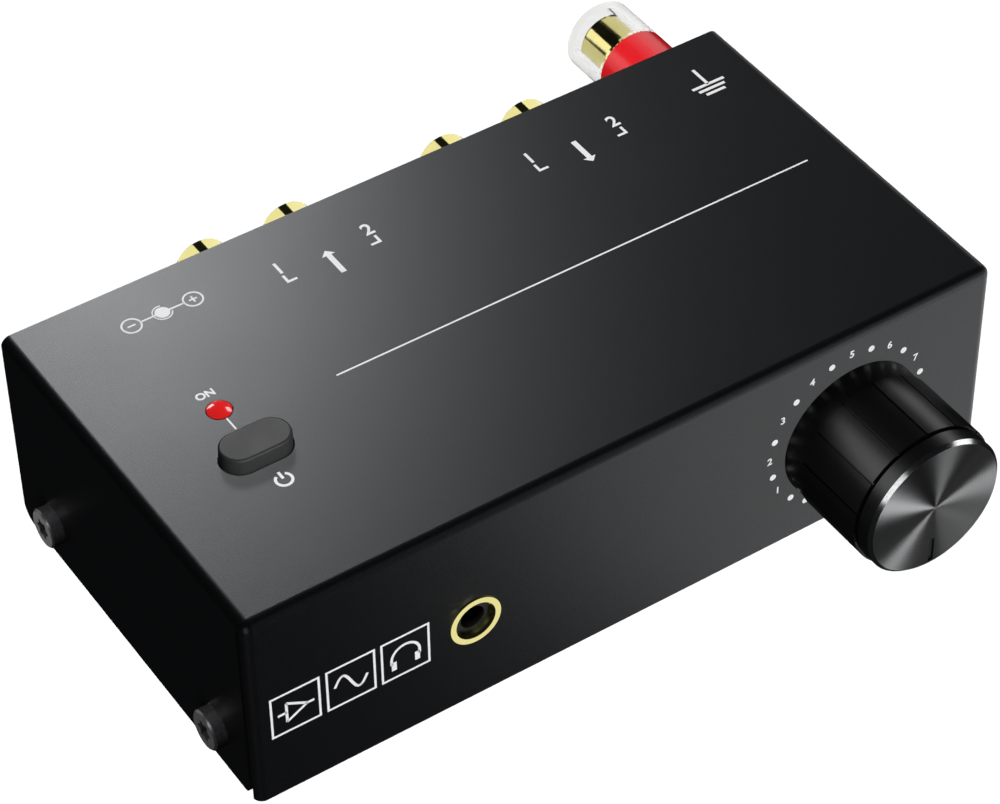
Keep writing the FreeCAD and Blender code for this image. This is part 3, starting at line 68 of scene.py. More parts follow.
# Printing on the top, in millimetres from the left side and the front panel of the case
POLARITY_Y = 54.7
POLARITY_XS = (15.5, 20.15, 24.8)
POLARITY_RADIUS = 1.35
POLARITY_DOT = 1.05
POLARITY_SIGN = 0.6
POLARITY_ARCS = ((75, 172), (188, 345))
POLARITY_ARC_LINE = 0.175
LABEL_Y = 53.4
LABEL_HEIGHT = 2.3
OUTPUT_XS = (37.2, 51.25)
INPUT_XS = (77.6, 91.65)
BRACKET_Y = 50.5
BRACKET_LEG = 1.4
BRACKET_SHIFT = 0.2
ARROW_LENGTH = 5.0
ARROW_HEAD = 1.0
GROUND_SIGN_X = 107.5
GROUND_SIGN_LINE = 0.48
GROUND_SIGN_STEM = (56.4, 52.7)
GROUND_SIGN_BARS = ((5.4, 52.7), (4.4, 51.75), (3.2, 50.8))
RULE_XS = (32.8, 109.0)
RULE_Y = 31.5
LIGHT_LINE_X = 17.0
LIGHT_LINE_YS = (30.3, 32.7)
ON_PLACE = (16.9, 37.9)
ON_HEIGHT = 1.25
POWER_SIGN_PLACE = (17.4, 19.1)
POWER_SIGN_RADIUS = 1.1
POWER_SIGN_ARC = (125, 415)
POWER_SIGN_STEM = 0.2

# Three frames on the front, in millimetres from the left side and the underside of the case
FRAME_XS = (2.9, 11.05, 19.15)
FRAME_Z = 10.95
FRAME_SIDE = 7.0
FRAME_LINE = 0.33

# Signs in the frames, in millimetres from the middle of each frame
TRIANGLE = ((-1.3, 1.7), (-1.3, -1.7), (1.7, 0.0))
TRIANGLE_WIRES = (((-2.6, 0.0), (-1.3, 0.0)), ((1.7, 0.0), (2.7, 0.0)))
WAVE_LENGTH = 4.8
WAVE_HEIGHT = 1.6
WAVE_STEPS = 24
HEADBAND_RADIUS = 2.1
HEADBAND_MIDDLE = -0.3
HEADBAND_END = -1.0
EAR_PAD_SIDE = 1.75
EAR_PAD_ENDS = (-0.6, -2.1)
EAR_PAD_WIDTH = 0.75

# Dial round the knob: places in millimetres from its axis, and angles in degrees from the right
DIAL_DOT_RADIUS = 0.5
DIAL_DOT_PLACE = 12.57
DIAL_DOT_ANGLES = (240, 225, 195, 165, 135, 105, 75, 45, 15, -15, -45, -60)
DIAL_DIGIT_PLACE = 12.8
DIAL_DIGIT_ANGLES = (209, 180, 149, 120, 90, 60, 30, 0, -30)
DIAL_DIGIT_HEIGHT = 1.2
DIAL_DIGIT_BOLD = 0.035

# Ring round the light, in millimetres
LIGHT_RIM_RADIUS = 1.78
LIGHT_RIM_WIRE = 0.07

# Knob: how far back its flat face and its chamfer reach, in millimetres, and how squarely the chamfer faces
# the front
FACE_DEPTH = 0.02
CHAMFER_DEPTH = 0.5
CHAMFER_FACING = (0.5, 0.9)

# Turned face of the knob: how steeply its grooves lean, and the angle and brightness of each light ray on it
GROOVE_LEAN = 12.0
FACE_RAYS = ((5, 6.0), (80, 4.6), (150, 15.0), (225, 5.5), (300, 2.0))

# Surfaces: cells per metre of the noises, and depth of the relief in millimetres
PEBBLE_SCALE = 5000
PEBBLE_DEPTH = 0.045
GROOVE_SCALE = 9000
SHEEN_PATCH_SCALE = 60
GRAIN_DEPTH = 0.05

# How many times broader the patches of a surface's roughness are than its grain
PATCH_TO_GRAIN = 40

# Soft light boxes by the pieces they light: name, place, point faced, two sides and brightness, in metres
BOXES = {
    "sheen": [("sheen_box", (0.104, 0.358, 0.33), (0.0, 0.0, 0.037), (0.06, 0.04), 53)],
    "soft_sheen": [("soft_sheen_box", (0.090, 0.362, 0.34), (0.0, 0.0, 0.037), (0.14, 0.14), 4.5)],
    "front": [("low_box", (0.105, -0.08, -0.03), (0.0, -0.03, 0.018), (0.17, 0.16), 1.02)],
    "button": [("button_box", (-0.05, -0.50, 0.15), (-0.04, 0.0, 0.037), (0.3, 0.3), 5)],
    "ink": [("ink_top_box", (0.0, 0.0, 1.0), (0.0, 0.0, 0.0), (1.0, 1.0), 3.6),
            ("ink_front_box", (0.0, -1.0, 0.0), (0.0, 0.0, 0.0), (1.0, 1.0), 3.6)],
    "shell": [("shell_left_box", (-0.65, 0.90, 0.55), (-0.65, 0.0, 0.55), (1.22, 1.1), 0.95),
              ("shell_right_box", (1.03, 0.90, 0.20), (1.03, 0.0, 0.20), (1.0, 1.6), 1.0)],
    "trim": [("right_box", (0.63, 0.90, 0.50), (0.63, 0.0, 0.50), (1.0, 1.0), 1.1),
             ("left_box", (-0.72, 0.90, 0.40), (-0.72, 0.0, 0.40), (0.46, 0.8), 1.8),
             ("above_box", (0.0, 0.0, 1.0), (0.0, 0.0, 0.0), (1.0, 1.0), 3.0),
             ("under_box", (0.142, -0.21, -0.237), (-0.025, -0.03, 0.012), (0.25, 0.25), 0.9),
             ("aside_box", (-0.60, -0.10, 0.30), (-0.058, 0.0, 0.015), (0.25, 0.25), 14.0)],
}

# More of them, each placed from the point it faces: name, way from that point, two sides and brightness
BOXES_ABOUT = {
    "button": [("button_edge_box", (0.21, -0.50, 0.43), (0.12, 0.12), 9)],
    "lamp": [("lamp_back_box", (0.49, 0.08, 0.33), (0.25, 0.25), 5.0),
             ("lamp_front_box", (0.00, 0.57, 0.15), (0.2, 0.2), 5.0)],
    "rear": [("rear_right_box", (0.55, 0.60, -0.20), (0.6, 0.6), 1.3),
             ("rear_left_box", (-0.50, 0.60, -0.34), (0.6, 0.6), 1.3)],
    "around": [("front_right_side_box", (0.60, -0.62, 0.10), (0.5, 0.9), 0.7),
               ("front_left_side_box", (-0.62, -0.62, -0.05), (0.5, 0.9), 0.8),
               ("back_right_side_box", (0.80, 0.46, 0.12), (0.5, 0.7), 0.6)],
}
CASE_MIDDLE = Vector((0.0, 0.0, 0.018))

# Boxes seen in the knob: name, lean and angle of the surface they show in, distance, side and brightness
KNOB_BOXES = (("grip_left_box", 90, 133, 1.0, 0.55, 2.2),
              ("grip_right_box", 90, 77, 1.0, 0.22, 3.2),
              ("edge_left_box", 45, 135, 0.6, 0.3, 1.3),
              ("edge_right_box", 45, 68, 0.6, 0.2, 1.6))
RAY_BOX_DISTANCE = 0.6
RAY_BOX_SIDE = 0.07

# White surroundings, in metres
FLOOR_SIDE = 6
TABLE_LIGHT = 3.7
BACKDROP_RADIUS = 2.9
BACKDROP_GLOW = 1.05
WORLD_COLOUR = (0.9, 0.95, 1.0, 1)
WORLD_STRENGTH = 0.010


# Shader helpers

def new_material(name):
    """A material with one shader, ready for its nodes."""
    material = bpy.data.materials.new(name)
    material.use_nodes = True
    nodes = material.node_tree.nodes
    nodes.clear()
    shader = nodes.new("ShaderNodeBsdfPrincipled")
    output = nodes.new("ShaderNodeOutputMaterial")
    material.node_tree.links.new(shader.outputs[0], output.inputs["Surface"])
    return material, nodes, material.node_tree.links, shader


def set_values(node, values):
    """Set a node's sockets by their names."""
    for name, value in values.items():
        node.inputs[name].default_value = value


def noise(nodes, links, scale, detail=2.0):
    """Noise over the object's own coordinates, with scale in cells per metre."""
    place = nodes.new("ShaderNodeTexCoord")
    texture = nodes.new("ShaderNodeTexNoise")
    set_values(texture, {"Scale": scale, "Detail": detail})
    links.new(place.outputs["Object"], texture.inputs["Vector"])
    return texture.outputs["Fac"]


def ramp(nodes, links, factor, stops):
    """Colour ramp from two (position, colour) stops."""
    node = nodes.new("ShaderNodeValToRGB")
    for element, (position, colour) in zip(node.color_ramp.elements, stops):
        element.position = position
        element.color = (*colour, 1)
    links.new(factor, node.inputs["Fac"])
    return node.outputs["Color"]


def spread(nodes, links, factor, low, high):
    """Map the middle of a noise to a range of numbers."""
    node = nodes.new("ShaderNodeMapRange")
    set_values(node, {"From Min": 0.3, "From Max": 0.7, "To Min": low, "To Max": high})
    links.new(factor, node.inputs["Value"])
    return node.outputs["Result"]


def bump(nodes, links, shader, height, strength, distance):
    """Relief on the shader from a height, with its depth in metres."""
    node = nodes.new("ShaderNodeBump")
    set_values(node, {"Strength": strength, "Distance": distance})
    links.new(height, node.inputs["Height"])
    links.new(node.outputs["Normal"], shader.inputs["Normal"])


def math_node(nodes, links, operation, first, second=None):
    """A Math node on one or two sockets."""
    node = nodes.new("ShaderNodeMath")
    node.operation = operation
    links.new(first, node.inputs[0])
    if second is not None:
        links.new(second, node.inputs[1])
    return node


def grained(name, dark, light, rough, scale, strength=0.15, metal=0.0, **values):
    """A surface with a fine grain in its colour, its roughness and its relief."""
    material, nodes, links, shader = new_material(name)
    fine = noise(nodes, links, scale)
    broad = noise(nodes, links, scale / PATCH_TO_GRAIN)
    links.new(ramp(nodes, links, fine, ((0.35, dark), (0.65, light))), shader.inputs["Base Color"])
    links.new(spread(nodes, links, broad, *rough), shader.inputs["Roughness"])
    bump(nodes, links, shader, fine, strength, distance=GRAIN_DEPTH * MM)
    set_values(shader, {"Metallic": metal})
    set_values(shader, values)
    return material


# Materials

def powder_coat():
    """Black powder coat: a fine pebbled relief and a soft sheen."""
    material, nodes, links, shader = new_material("powder_coat")
    pebbles = noise(nodes, links, PEBBLE_SCALE, detail=3.0)
    broad = noise(nodes, links, SHEEN_PATCH_SCALE)
    colours = ((0.35, (0.010, 0.0105, 0.012)), (0.70, (0.022, 0.023, 0.026)))
    links.new(ramp(nodes, links, pebbles, colours), shader.inputs["Base Color"])
    links.new(spread(nodes, links, broad, low=0.335, high=0.345), shader.inputs["Roughness"])
    bump(nodes, links, shader, pebbles, strength=0.35, distance=PEBBLE_DEPTH * MM)
    set_values(shader, {"Specular IOR Level": 0.46, "Specular Tint": (0.94, 0.965, 1.0, 1)})
    return material


def knob_middle():
    low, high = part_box("volume_knob")
    return (low + high) / 2


def radius_from_axis(nodes, links):
    """Distance from the knob's axis, which runs along Y."""
    place = nodes.new("ShaderNodeTexCoord")
    split = nodes.new("ShaderNodeSeparateXYZ")
    links.new(place.outputs["Object"], split.inputs[0])
    middle = knob_middle()
    squares = []
    for axis, centre in (("X", middle.x), ("Z", middle.z)):
        offset = math_node(nodes, links, "SUBTRACT", split.outputs[axis])
        offset.inputs[1].default_value = centre
        squares.append(math_node(nodes, links, "MULTIPLY", offset.outputs[0], offset.outputs[0]).outputs[0])
    total = math_node(nodes, links, "ADD", *squares)
    return math_node(nodes, links, "SQRT", total.outputs[0]).outputs[0]


def spun_anodising():
    """Black anodised aluminium with turning marks round the knob's axis."""
    material, nodes, links, shader = new_material("spun_anodising")
    radius = radius_from_axis(nodes, links)
    rings = nodes.new("ShaderNodeTexNoise")
    rings.noise_dimensions = "1D"
    rings.inputs["Scale"].default_value = GROOVE_SCALE
    links.new(radius, rings.inputs["W"])
    colours = ((0.35, (0.19, 0.192, 0.195)), (0.70, (0.24, 0.242, 0.248)))
    links.new(ramp(nodes, links, rings.outputs["Fac"], colours), shader.inputs["Base Color"])
    lean = nodes.new("ShaderNodeBump")
    lean.invert = True
    lean.inputs["Distance"].default_value = math.tan(math.radians(GROOVE_LEAN))
    links.new(radius, lean.inputs["Height"])
    links.new(lean.outputs["Normal"], shader.inputs["Normal"])
    tangent = nodes.new("ShaderNodeTangent")
    tangent.direction_type = "RADIAL"
    tangent.axis = "Y"
    links.new(tangent.outputs[0], shader.inputs["Tangent"])
    set_values(shader, {"Metallic": 1.0, "Roughness": 0.3, "Anisotropic": 0.95,
                        "Anisotropic Rotation": 0.25})
    return material


def gloss_anodising():
    """Glossy black side of the knob."""
    return grained("gloss_anodising", (0.010, 0.010, 0.011), (0.014, 0.014, 0.015), (0.34, 0.38), 2500,
                   strength=0.03, **{"Specular IOR Level": 0.6})


def cut_edge():
    """Bright diamond-cut chamfer."""
    return grained("cut_edge", (0.55, 0.56, 0.57), (0.75, 0.76, 0.77), (0.14, 0.20), 4000, strength=0.03,
                   metal=1.0)


def red_lens():
    """Lit red lens with a clear surface."""
    material, nodes, links, shader = new_material("red_lens")
    cloud = noise(nodes, links, scale=500)
    colours = ((0.3, (0.66, 0.02, 0.02)), (0.7, (0.78, 0.03, 0.03)))
    links.new(ramp(nodes, links, cloud, colours), shader.inputs["Base Color"])
    set_values(shader, {"Roughness": 0.18, "Coat Weight": 1.0, "Coat Roughness": 0.03,
                        "Emission Color": (1.0, 0.02, 0.02, 1), "Emission Strength": 0.60})
    return material


def clear_plastic():
    """Clear sleeve of the ground post."""
    material, nodes, links, shader = new_material("clear_plastic")
    cloud = noise(nodes, links, scale=300)
    colours = ((0.3, (0.76, 0.76, 0.75)), (0.7, (0.79, 0.79, 0.78)))
    links.new(ramp(nodes, links, cloud, colours), shader.inputs["Base Color"])
    set_values(shader, {"Roughness": 0.02, "Transmission Weight": 1.0, "IOR": 1.12})
    return material


def slot_materials():
    """One material for each slot of the record."""
    black = ((0.012, 0.012, 0.013), (0.022, 0.022, 0.023))
    return {
        "powder_coat": powder_coat(),
        "rubber": grained("rubber", *black, (0.75, 0.90), 2500, strength=0.3),
        "black_screw": grained("black_screw", (0.018, 0.018, 0.020), (0.03, 0.03, 0.032), (0.22, 0.34), 3000),
        "steel": grained("steel", (0.45, 0.45, 0.44), (0.62, 0.62, 0.60), (0.25, 0.35), 1800, metal=1.0),
        "brass": grained("brass", (0.55, 0.40, 0.16), (0.72, 0.55, 0.25), (0.20, 0.30), 1800, metal=1.0),
        "circuit_board": grained("circuit_board", (0.006, 0.050, 0.022), (0.012, 0.085, 0.040), (0.3, 0.4),
                                 900, strength=0.1),
        "anodised": gloss_anodising(),
        "black_plastic": grained("black_plastic", *black, (0.35, 0.50), 2200, strength=0.2),
        "button_plastic": grained("button_plastic", (0.046, 0.047, 0.048), (0.060, 0.061, 0.062),
                                  (0.42, 0.48), 6000, strength=0.05, **{"Specular IOR Level": 0.4}),
        "white_plastic": grained("white_plastic", (0.76, 0.76, 0.74), (0.85, 0.85, 0.83), (0.25, 0.35), 1200,
                                 strength=0.05),
        "red_plastic": grained("red_plastic", (0.68, 0.010, 0.016), (0.73, 0.014, 0.022), (0.20, 0.22), 3000,
                               strength=0.01),
        "red_lens": red_lens(),
        "gold": grained("gold", (0.86, 0.78, 0.31), (0.89, 0.81, 0.34), (0.05, 0.08), 1500, strength=0.01,
                        metal=1.0),
        "clear_plastic": clear_plastic(),
        "can_sleeve": grained("can_sleeve", (0.008, 0.012, 0.030), (0.014, 0.020, 0.050), (0.25, 0.35), 1200,
                              strength=0.05),
        "film_case": grained("film_case", (0.30, 0.02, 0.015), (0.45, 0.04, 0.03), (0.2, 0.3), 900),
        "resistor": grained("resistor", (0.12, 0.28, 0.42), (0.18, 0.38, 0.55), (0.25, 0.35), 1200),
        "tin": grained("tin", (0.50, 0.50, 0.50), (0.68, 0.68, 0.68), (0.22, 0.34), 2200, metal=1.0),
    }


def dress_nodes(frame):
    """Give every construction node the material of its slot."""
    materials = slot_materials()
    for part in frame["record"]["subparts"]:
        mesh = frame["nodes"][part["node"]].data
        mesh.materials.clear()
        mesh.materials.append(materials[part["material_slot"]])


def dress_knob(node):
    """Spun face and a bright chamfer on the knob's front."""
    mesh = node.data
    mesh.materials.append(spun_anodising())
    mesh.materials.append(cut_edge())
    spun, cut = 1, 2
    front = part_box(node.name)[0].y
    least, most = CHAMFER_FACING
    for face in mesh.polygons:
        if face.center.y < front + FACE_DEPTH * MM:
            face.material_index = spun
        elif face.center.y < front + CHAMFER_DEPTH * MM and least < abs(face.normal.y) < most:
            face.material_index = cut


# Printing

class Print:
    """A flat side of the case that takes ink: where it starts and how it faces."""

    def __init__(self, origin, across, up, ink):
        self.origin = Vector(origin)
        self.across = Vector(across)
        self.up = Vector(up)
        self.out = self.across.cross(self.up)
        self.ink = ink

    def point(self, u, v, height):
        return self.origin + (self.across * u + self.up * v + self.out * height) * MM

    def finish(self, piece):
        piece.data.materials.append(self.ink)
        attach(piece, "case")

    def shapes(self, name, outlines):
        """Flat ink shapes with a little thickness, from lists of (u, v) corners, counter-clockwise."""
        points = []
        faces = []
        for outline in outlines:
            count = len(outline)
            start = len(points)
            for height in (-INK_SINK, INK_THICKNESS):
                points += [self.point(u, v, height) for u, v in outline]
            faces.append([start + step for step in reversed(range(count))])
            faces.append([start + count + step for step in range(count)])
            for step in range(count):
                following = (step + 1) % count
                faces.append([start + step, start + following, start + count + following,
                              start + count + step])
        mesh = bpy.data.meshes.new(name)
        mesh.from_pydata(points, [], faces)
        piece = bpy.data.objects.new(name, mesh)
        bpy.context.scene.collection.objects.link(piece)
        self.finish(piece)

    def words(self, name, text, place, height, bold=LETTER_BOLD):
        """Letters or digits centred on a place."""
        curve = bpy.data.curves.new(name, "FONT")
        curve.body = text
        curve.align_x = "CENTER"
        curve.align_y = "CENTER"
        curve.size = height * LETTER_SIZE_PER_HEIGHT * MM
        curve.offset = bold * MM
        curve.extrude = (INK_THICKNESS + INK_SINK) / 2 * MM
        piece = bpy.data.objects.new(name, curve)
        bpy.context.scene.collection.objects.link(piece)
        piece.location = self.point(*place, (INK_THICKNESS - INK_SINK) / 2)
        faces_front = self.out.y < 0
        if faces_front:
            piece.rotation_euler = (math.pi / 2, 0, 0)
        self.finish(piece)


def stroke(start, end, width):
    """Corners of a straight line with a width."""
    (u0, v0), (u1, v1) = start, end
    length = math.hypot(u1 - u0, v1 - v0)
    side_u = -(v1 - v0) / length * width / 2
    side_v = (u1 - u0) / length * width / 2
    return [(u0 - side_u, v0 - side_v), (u1 - side_u, v1 - side_v), (u1 + side_u, v1 + side_v),
            (u0 + side_u, v0 + side_v)]


def level(u0, u1, v, width):
    """Corners of a line across, from u0 to u1."""
    return stroke((u0, v), (u1, v), width)


def upright(u, v0, v1, width):
    """Corners of a line up or down, from v0 to v1."""
    return stroke((u, v0), (u, v1), width)


def arrow(centre, angle):
    """Corners of a plain arrow round its centre, pointing along an angle in degrees."""
    half = ARROW_LENGTH / 2
    neck = half - ARROW_HEAD
    corners = [(-half, -LINE), (neck, -LINE), (neck, -ARROW_HEAD), (half, 0), (neck, ARROW_HEAD),
               (neck, LINE), (-half, LINE)]
    along = math.cos(math.radians(angle))
    aside = math.sin(math.radians(angle))
    return [(centre[0] + u * along - v * aside, centre[1] + u * aside + v * along) for u, v in corners]


def round_about(centre, radius, angle):
    """The point at a radius and an angle in radians from a centre."""
    return (centre[0] + radius * math.cos(angle), centre[1] + radius * math.sin(angle))


def disc(centre, radius, count=32):
    """Corners of a round dot."""
    return [round_about(centre, radius, 2 * math.pi * step / count) for step in range(count)]


def arc(centre, radius, width, start=0.0, end=360.0, count=40):
    """A ring, or part of one, as short four-cornered pieces. Angles in degrees."""
    inner = radius - width / 2
    outer = radius + width / 2
    pieces = []
    for step in range(count):
        first = math.radians(start + (end - start) * step / count)
        second = math.radians(start + (end - start) * (step + 1) / count)
        pieces.append([round_about(centre, inner, first), round_about(centre, outer, first),
                       round_about(centre, outer, second), round_about(centre, inner, second)])
    return pieces


def print_polarity(top):
    """Sign of a barrel plug with its centre positive."""
    minus, dot, plus = POLARITY_XS
    y = POLARITY_Y
    shapes = arc((minus, y), POLARITY_RADIUS, THIN_LINE) + arc((plus, y), POLARITY_RADIUS, THIN_LINE)
    shapes.append(disc((dot, y), POLARITY_DOT))
    for start, end in POLARITY_ARCS:
        shapes += arc((dot, y), POLARITY_RADIUS, POLARITY_ARC_LINE, start, end, count=15)
    shapes.append(level(minus + POLARITY_RADIUS, dot - POLARITY_DOT, y, THIN_LINE))
    shapes.append(level(dot + POLARITY_DOT, plus - POLARITY_RADIUS, y, THIN_LINE))
    for x in (minus, plus):
        shapes.append(level(x - POLARITY_SIGN, x + POLARITY_SIGN, y, THIN_LINE))
    for side in (-1, 1):
        shapes.append(upright(plus, y + side * THIN_LINE / 2, y + side * POLARITY_SIGN, THIN_LINE))
    top.shapes("print_polarity_sign", shapes)


def print_socket_pair(top, name, xs, arrow_angle):
    """Numbers over a pair of sockets, with corner brackets and an arrow between them."""
    for digit, x in zip("12", xs):
        top.words("print_" + name + "_" + digit, digit, (x, LABEL_Y), LABEL_HEIGHT)
    shapes = []
    for side, x in zip((1, -1), xs):
        corner = x - side * BRACKET_SHIFT
        shapes.append(level(corner - side * LINE / 2, corner + side * BRACKET_LEG, BRACKET_Y, LINE))
        shapes.append(upright(corner, BRACKET_Y + LINE / 2, BRACKET_Y + BRACKET_LEG, LINE))
    top.shapes("print_" + name + "_marks", shapes)
    middle = ((xs[0] + xs[1]) / 2, BRACKET_Y)
    top.shapes("print_" + name + "_arrow", [arrow(middle, arrow_angle)])


def print_ground(top):
    """Earth sign: a stem over three bars."""
    x = GROUND_SIGN_X
    shapes = [upright(x, *GROUND_SIGN_STEM, GROUND_SIGN_LINE)]
    for length, y in GROUND_SIGN_BARS:
        shapes.append(level(x - length / 2, x + length / 2, y, GROUND_SIGN_LINE))
    top.shapes("print_ground_sign", shapes)


def print_power_sign(top):
    """Power sign beside the button: an open ring with a stem."""
    x, y = POWER_SIGN_PLACE
    shapes = arc(POWER_SIGN_PLACE, POWER_SIGN_RADIUS, LINE, *POWER_SIGN_ARC)
    shapes.append(upright(x, y + POWER_SIGN_STEM, y + POWER_SIGN_RADIUS + LINE, LINE))
    top.shapes("print_power_sign", shapes)


def print_top(top):
    """Everything printed on the top."""
    print_polarity(top)
    print_socket_pair(top, "output", OUTPUT_XS, arrow_angle=90)
    print_socket_pair(top, "input", INPUT_XS, arrow_angle=-90)
    print_ground(top)
    top.shapes("print_rule", [level(*RULE_XS, RULE_Y, THIN_LINE)])
    top.shapes("print_light_line", [upright(LIGHT_LINE_X, *LIGHT_LINE_YS, THIN_LINE)])
    top.words("print_on", "ON", ON_PLACE, ON_HEIGHT)
    print_power_sign(top)


def print_frames(front):
    """Three square frames."""
    half = FRAME_LINE / 2
    bottom, top = FRAME_Z, FRAME_Z + FRAME_SIDE
    shapes = []
    for left in FRAME_XS:
        right = left + FRAME_SIDE
        for z in (bottom, top):
            shapes.append(level(left - half, right + half, z, FRAME_LINE))
        for x in (left, right):
            shapes.append(upright(x, bottom + half, top - half, FRAME_LINE))
    front.shapes("print_frames", shapes)


def print_amplifier_sign(front, x, z):
    """A triangle with a wire at each end."""
    corners = [(x + u, z + v) for u, v in TRIANGLE]
    shapes = [stroke(corners[step], corners[(step + 1) % 3], LINE) for step in range(3)]
    for (u0, v0), (u1, v1) in TRIANGLE_WIRES:
        shapes.append(stroke((x + u0, z + v0), (x + u1, z + v1), LINE))
    front.shapes("print_gain_sign", shapes)


def print_wave_sign(front, x, z):
    """One period of a clean wave."""
    wave = [(x - WAVE_LENGTH / 2 + WAVE_LENGTH * step / WAVE_STEPS,
             z + WAVE_HEIGHT * math.sin(2 * math.pi * step / WAVE_STEPS)) for step in range(WAVE_STEPS + 1)]
    strokes = [stroke(start, end, LINE) for start, end in zip(wave, wave[1:])]
    front.shapes("print_wave_sign", strokes)


def print_headphone_sign(front, x, z):
    """A headband with an ear pad at each end."""
    shapes = arc((x, z + HEADBAND_MIDDLE), HEADBAND_RADIUS, LINE, start=0, end=180, count=24)
    for side in (-1, 1):
        shapes.append(upright(x + side * HEADBAND_RADIUS, z + HEADBAND_MIDDLE, z + HEADBAND_END, LINE))
        shapes.append(upright(x + side * EAR_PAD_SIDE, z + EAR_PAD_ENDS[0], z + EAR_PAD_ENDS[1],
                              EAR_PAD_WIDTH))
    front.shapes("print_headphone_sign", shapes)


def print_signs(front):
    """A sign in the middle of each frame."""
    signs = (print_amplifier_sign, print_wave_sign, print_headphone_sign)
    for sign, x in zip(signs, FRAME_XS):
        sign(front, x + FRAME_SIDE / 2, FRAME_Z + FRAME_SIDE / 2)


def print_dial(front, middle):
    """Dots and plain numbers round the knob."""
    dots = [disc(round_about(middle, DIAL_DOT_PLACE, math.radians(angle)), DIAL_DOT_RADIUS, count=20)
            for angle in DIAL_DOT_ANGLES]
    front.shapes("print_dial_dots", dots)
    for count, angle in enumerate(DIAL_DIGIT_ANGLES, 1):
        place = round_about(middle, DIAL_DIGIT_PLACE, math.radians(angle))
        front.words("print_dial_" + str(count), str(count), place, DIAL_DIGIT_HEIGHT, DIAL_DIGIT_BOLD)


def print_case():
    """All ink on the case, on its top and on its front."""
    low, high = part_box("top_cover")
    ink = grained("white_ink", (0.78, 0.78, 0.78), (0.86, 0.86, 0.86), (0.45, 0.55), 4000, strength=0.05)
    top = Print((low.x, low.y, high.z), (1, 0, 0), (0, 1, 0), ink)
    front = Print((low.x, low.y, low.z), (1, 0, 0), (0, 0, 1), ink)
    print_top(top)
    print_frames(front)
    print_signs(front)
    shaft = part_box("volume_shaft")
    axis = (shaft[0] + shaft[1]) / 2
    print_dial(front, ((axis.x - low.x) / MM, (axis.z - low.z) / MM))


# Small trim

def light_rim():
    """Thin dark red ring round the light."""
    low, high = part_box("power_light")
    middle = (low + high) / 2
    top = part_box("top_cover")[1].z
    bpy.ops.mesh.primitive_torus_add(location=(middle.x, middle.y, top), major_radius=LIGHT_RIM_RADIUS * MM,
                                     minor_radius=LIGHT_RIM_WIRE * MM, major_segments=48, minor_segments=8)
    rim = bpy.context.object
    rim.name = "light_rim"
    bpy.ops.object.shade_smooth()
    rim.data.materials.append(grained("rim_plastic", (0.30, 0.05, 0.06), (0.40, 0.07, 0.08), (0.2, 0.3),
                                      3000))
    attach(rim, "case")


# Studio

def card(name, place, target, size, radiance):
    """A soft white box: where it stands, what it faces, its sides in metres and its brightness."""
    light = bpy.data.lights.new(name, "AREA")
    light.shape = "RECTANGLE"
    light.size, light.size_y = size
    light.energy = radiance * math.pi * size[0] * size[1]
    holder = bpy.data.objects.new(name, light)
    bpy.context.scene.collection.objects.link(holder)
    holder.location = place
    holder.rotation_euler = (Vector(target) - Vector(place)).to_track_quat("-Z", "Y").to_euler()
    holder.visible_camera = False
    return holder


def light_only(lights, receivers, blockers, name):
    """Let these lights fall on the receivers alone, with shadows of the blockers alone."""
    lit = bpy.data.collections.new(name + "_lit")
    for receiver in receivers:
        lit.objects.link(receiver)
    blocking = bpy.data.collections.new(name + "_blocking")
    for blocker in blockers:
        blocking.objects.link(blocker)
    for light in lights:
        light.light_linking.receiver_collection = lit
        light.light_linking.blocker_collection = blocking


def light_group(name, receivers, blockers, point=None):
    """Make the boxes of a group, some about a point, and let them light the receivers alone."""
    lights = [card(*box) for box in BOXES.get(name, ())]
    for box, way, size, radiance in BOXES_ABOUT.get(name, ()):
        lights.append(card(box, point + Vector(way), point, size, radiance))
    light_only(lights, receivers, blockers, name)


def floor():
    """Pale floor that doesn't show in the part."""
    bpy.ops.mesh.primitive_plane_add(size=FLOOR_SIDE, location=(0, 0, 0))
    plane = bpy.context.object
    plane.name = "floor"
    plane.data.materials.append(grained("paper", (0.90, 0.90, 0.90), (0.92, 0.92, 0.92), (0.7, 0.8), 200,
                                        strength=0.02))
    plane.visible_glossy = False
    plane.visible_diffuse = False
    return plane


def backdrop():
    """White dome round the studio that only the camera sees."""
    bpy.ops.mesh.primitive_uv_sphere_add(radius=BACKDROP_RADIUS, location=(0, 0, 0))
    dome = bpy.context.object
    dome.name = "backdrop"
    material, nodes, links, shader = new_material("backdrop")
    cloud = noise(nodes, links, scale=1)
    colours = ((0.3, (0.98, 0.98, 0.98)), (0.7, (1.0, 1.0, 1.0)))
    links.new(ramp(nodes, links, cloud, colours), shader.inputs["Emission Color"])
    set_values(shader, {"Base Color": (0, 0, 0, 1), "Emission Strength": BACKDROP_GLOW})
    dome.data.materials.append(material)
    for kind in ("visible_glossy", "visible_diffuse", "visible_transmission", "visible_shadow"):
        setattr(dome, kind, False)


def faint_world():
    """A faint cool light from all round."""
    world = bpy.data.worlds.new("studio")
    world.use_nodes = True
    set_values(world.node_tree.nodes["Background"], {"Color": WORLD_COLOUR, "Strength": WORLD_STRENGTH})
    bpy.context.scene.world = world


def reflection(lean, angle):
    """Where a surface of the knob sends the camera's line: its lean from the axis and its angle."""
    tilt = math.radians(lean)
    around = math.radians(angle)
    normal = Vector((math.sin(tilt) * math.cos(around), -math.cos(tilt), math.sin(tilt) * math.sin(around)))
    view = (Vector(CAMERA_PLACE) * MM - knob_middle()).normalized()
    return 2 * view.dot(normal) * normal - view


def knob_card(name, lean, angle, distance, side, radiance):
    """A box seen in the part of the knob with this lean and angle."""
    middle = knob_middle()
    return card(name, middle + reflection(lean, angle) * distance, middle, (side, side), radiance)


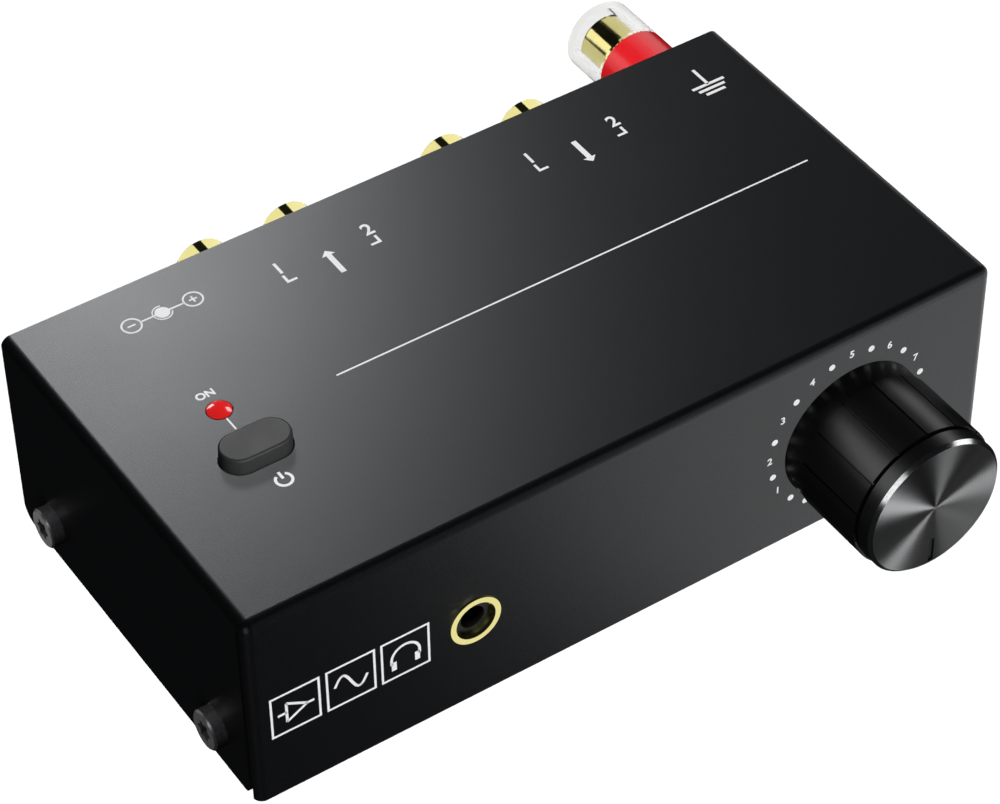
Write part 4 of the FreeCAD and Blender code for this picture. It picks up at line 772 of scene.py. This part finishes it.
def light_knob(knob, blockers):
    """Highlights of the knob's grip and edge, and the rays on its face."""
    lights = [knob_card(*box) for box in KNOB_BOXES]
    for count, (angle, radiance) in enumerate(FACE_RAYS):
        lights.append(knob_card("ray_box_" + str(count), GROOVE_LEAN, angle, RAY_BOX_DISTANCE, RAY_BOX_SIDE,
                                radiance))
    light_only(lights, knob, blockers, "knob")


def light_table(paper):
    """Even light on the floor alone."""
    daylight = bpy.data.lights.new("table_light", "SUN")
    daylight.energy = TABLE_LIGHT
    table = bpy.data.objects.new("table_light", daylight)
    bpy.context.scene.collection.objects.link(table)
    light_only([table], [paper], [paper], "table")


def studio():
    """White surroundings, and the lights of each group of pieces."""
    paper = floor()
    backdrop()
    faint_world()
    bpy.context.scene.view_settings.view_transform = "Standard"

    pieces = [piece for piece in bpy.data.objects
              if piece.type in ("MESH", "FONT") and piece.name not in ("floor", "backdrop")]

    def named(*names):
        return [piece for piece in pieces if piece.name in names]

    cover = named("top_cover")
    button = named("power_button")
    knob = named("volume_knob")
    tray = named("base_tray")
    lamp = named("power_light", "light_rim")
    prints = [piece for piece in pieces if piece.name.startswith("print")]
    shells = [piece for piece in pieces if piece.name.endswith("_socket_shells")]
    with_own_lights = prints + cover + button + knob + tray + lamp + shells
    trim = [piece for piece in pieces if piece not in with_own_lights]
    back = [piece for piece in tray + trim if not piece.name.startswith("ground_post")]

    light_group("sheen", cover + button, cover)
    light_group("soft_sheen", cover + button, pieces)
    light_group("front", cover, cover)
    light_group("button", button, pieces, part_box("power_button")[1])
    light_group("ink", prints, prints)
    light_group("shell", shells, pieces)
    light_group("lamp", lamp, lamp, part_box("power_light")[1])
    light_group("trim", trim, pieces)
    light_knob(knob, knob + cover)
    light_group("rear", back, pieces, CASE_MIDDLE)
    light_group("around", cover + button, pieces, CASE_MIDDLE)
    light_table(paper)


def camera():
    """The photograph's camera."""
    data = bpy.data.cameras.new("photo_camera")
    data.lens = LENS
    data.sensor_width = SENSOR
    data.sensor_fit = "HORIZONTAL"
    holder = bpy.data.objects.new("photo_camera", data)
    bpy.context.scene.collection.objects.link(holder)
    holder.location = Vector(CAMERA_PLACE) * MM
    holder.rotation_euler = [math.radians(angle) for angle in CAMERA_TURN]
    bpy.context.scene.camera = holder


def main():
    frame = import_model()
    camera()
    dress_nodes(frame)
    dress_knob(frame["nodes"]["volume_knob"])
    print_case()
    light_rim()
    studio()


main()
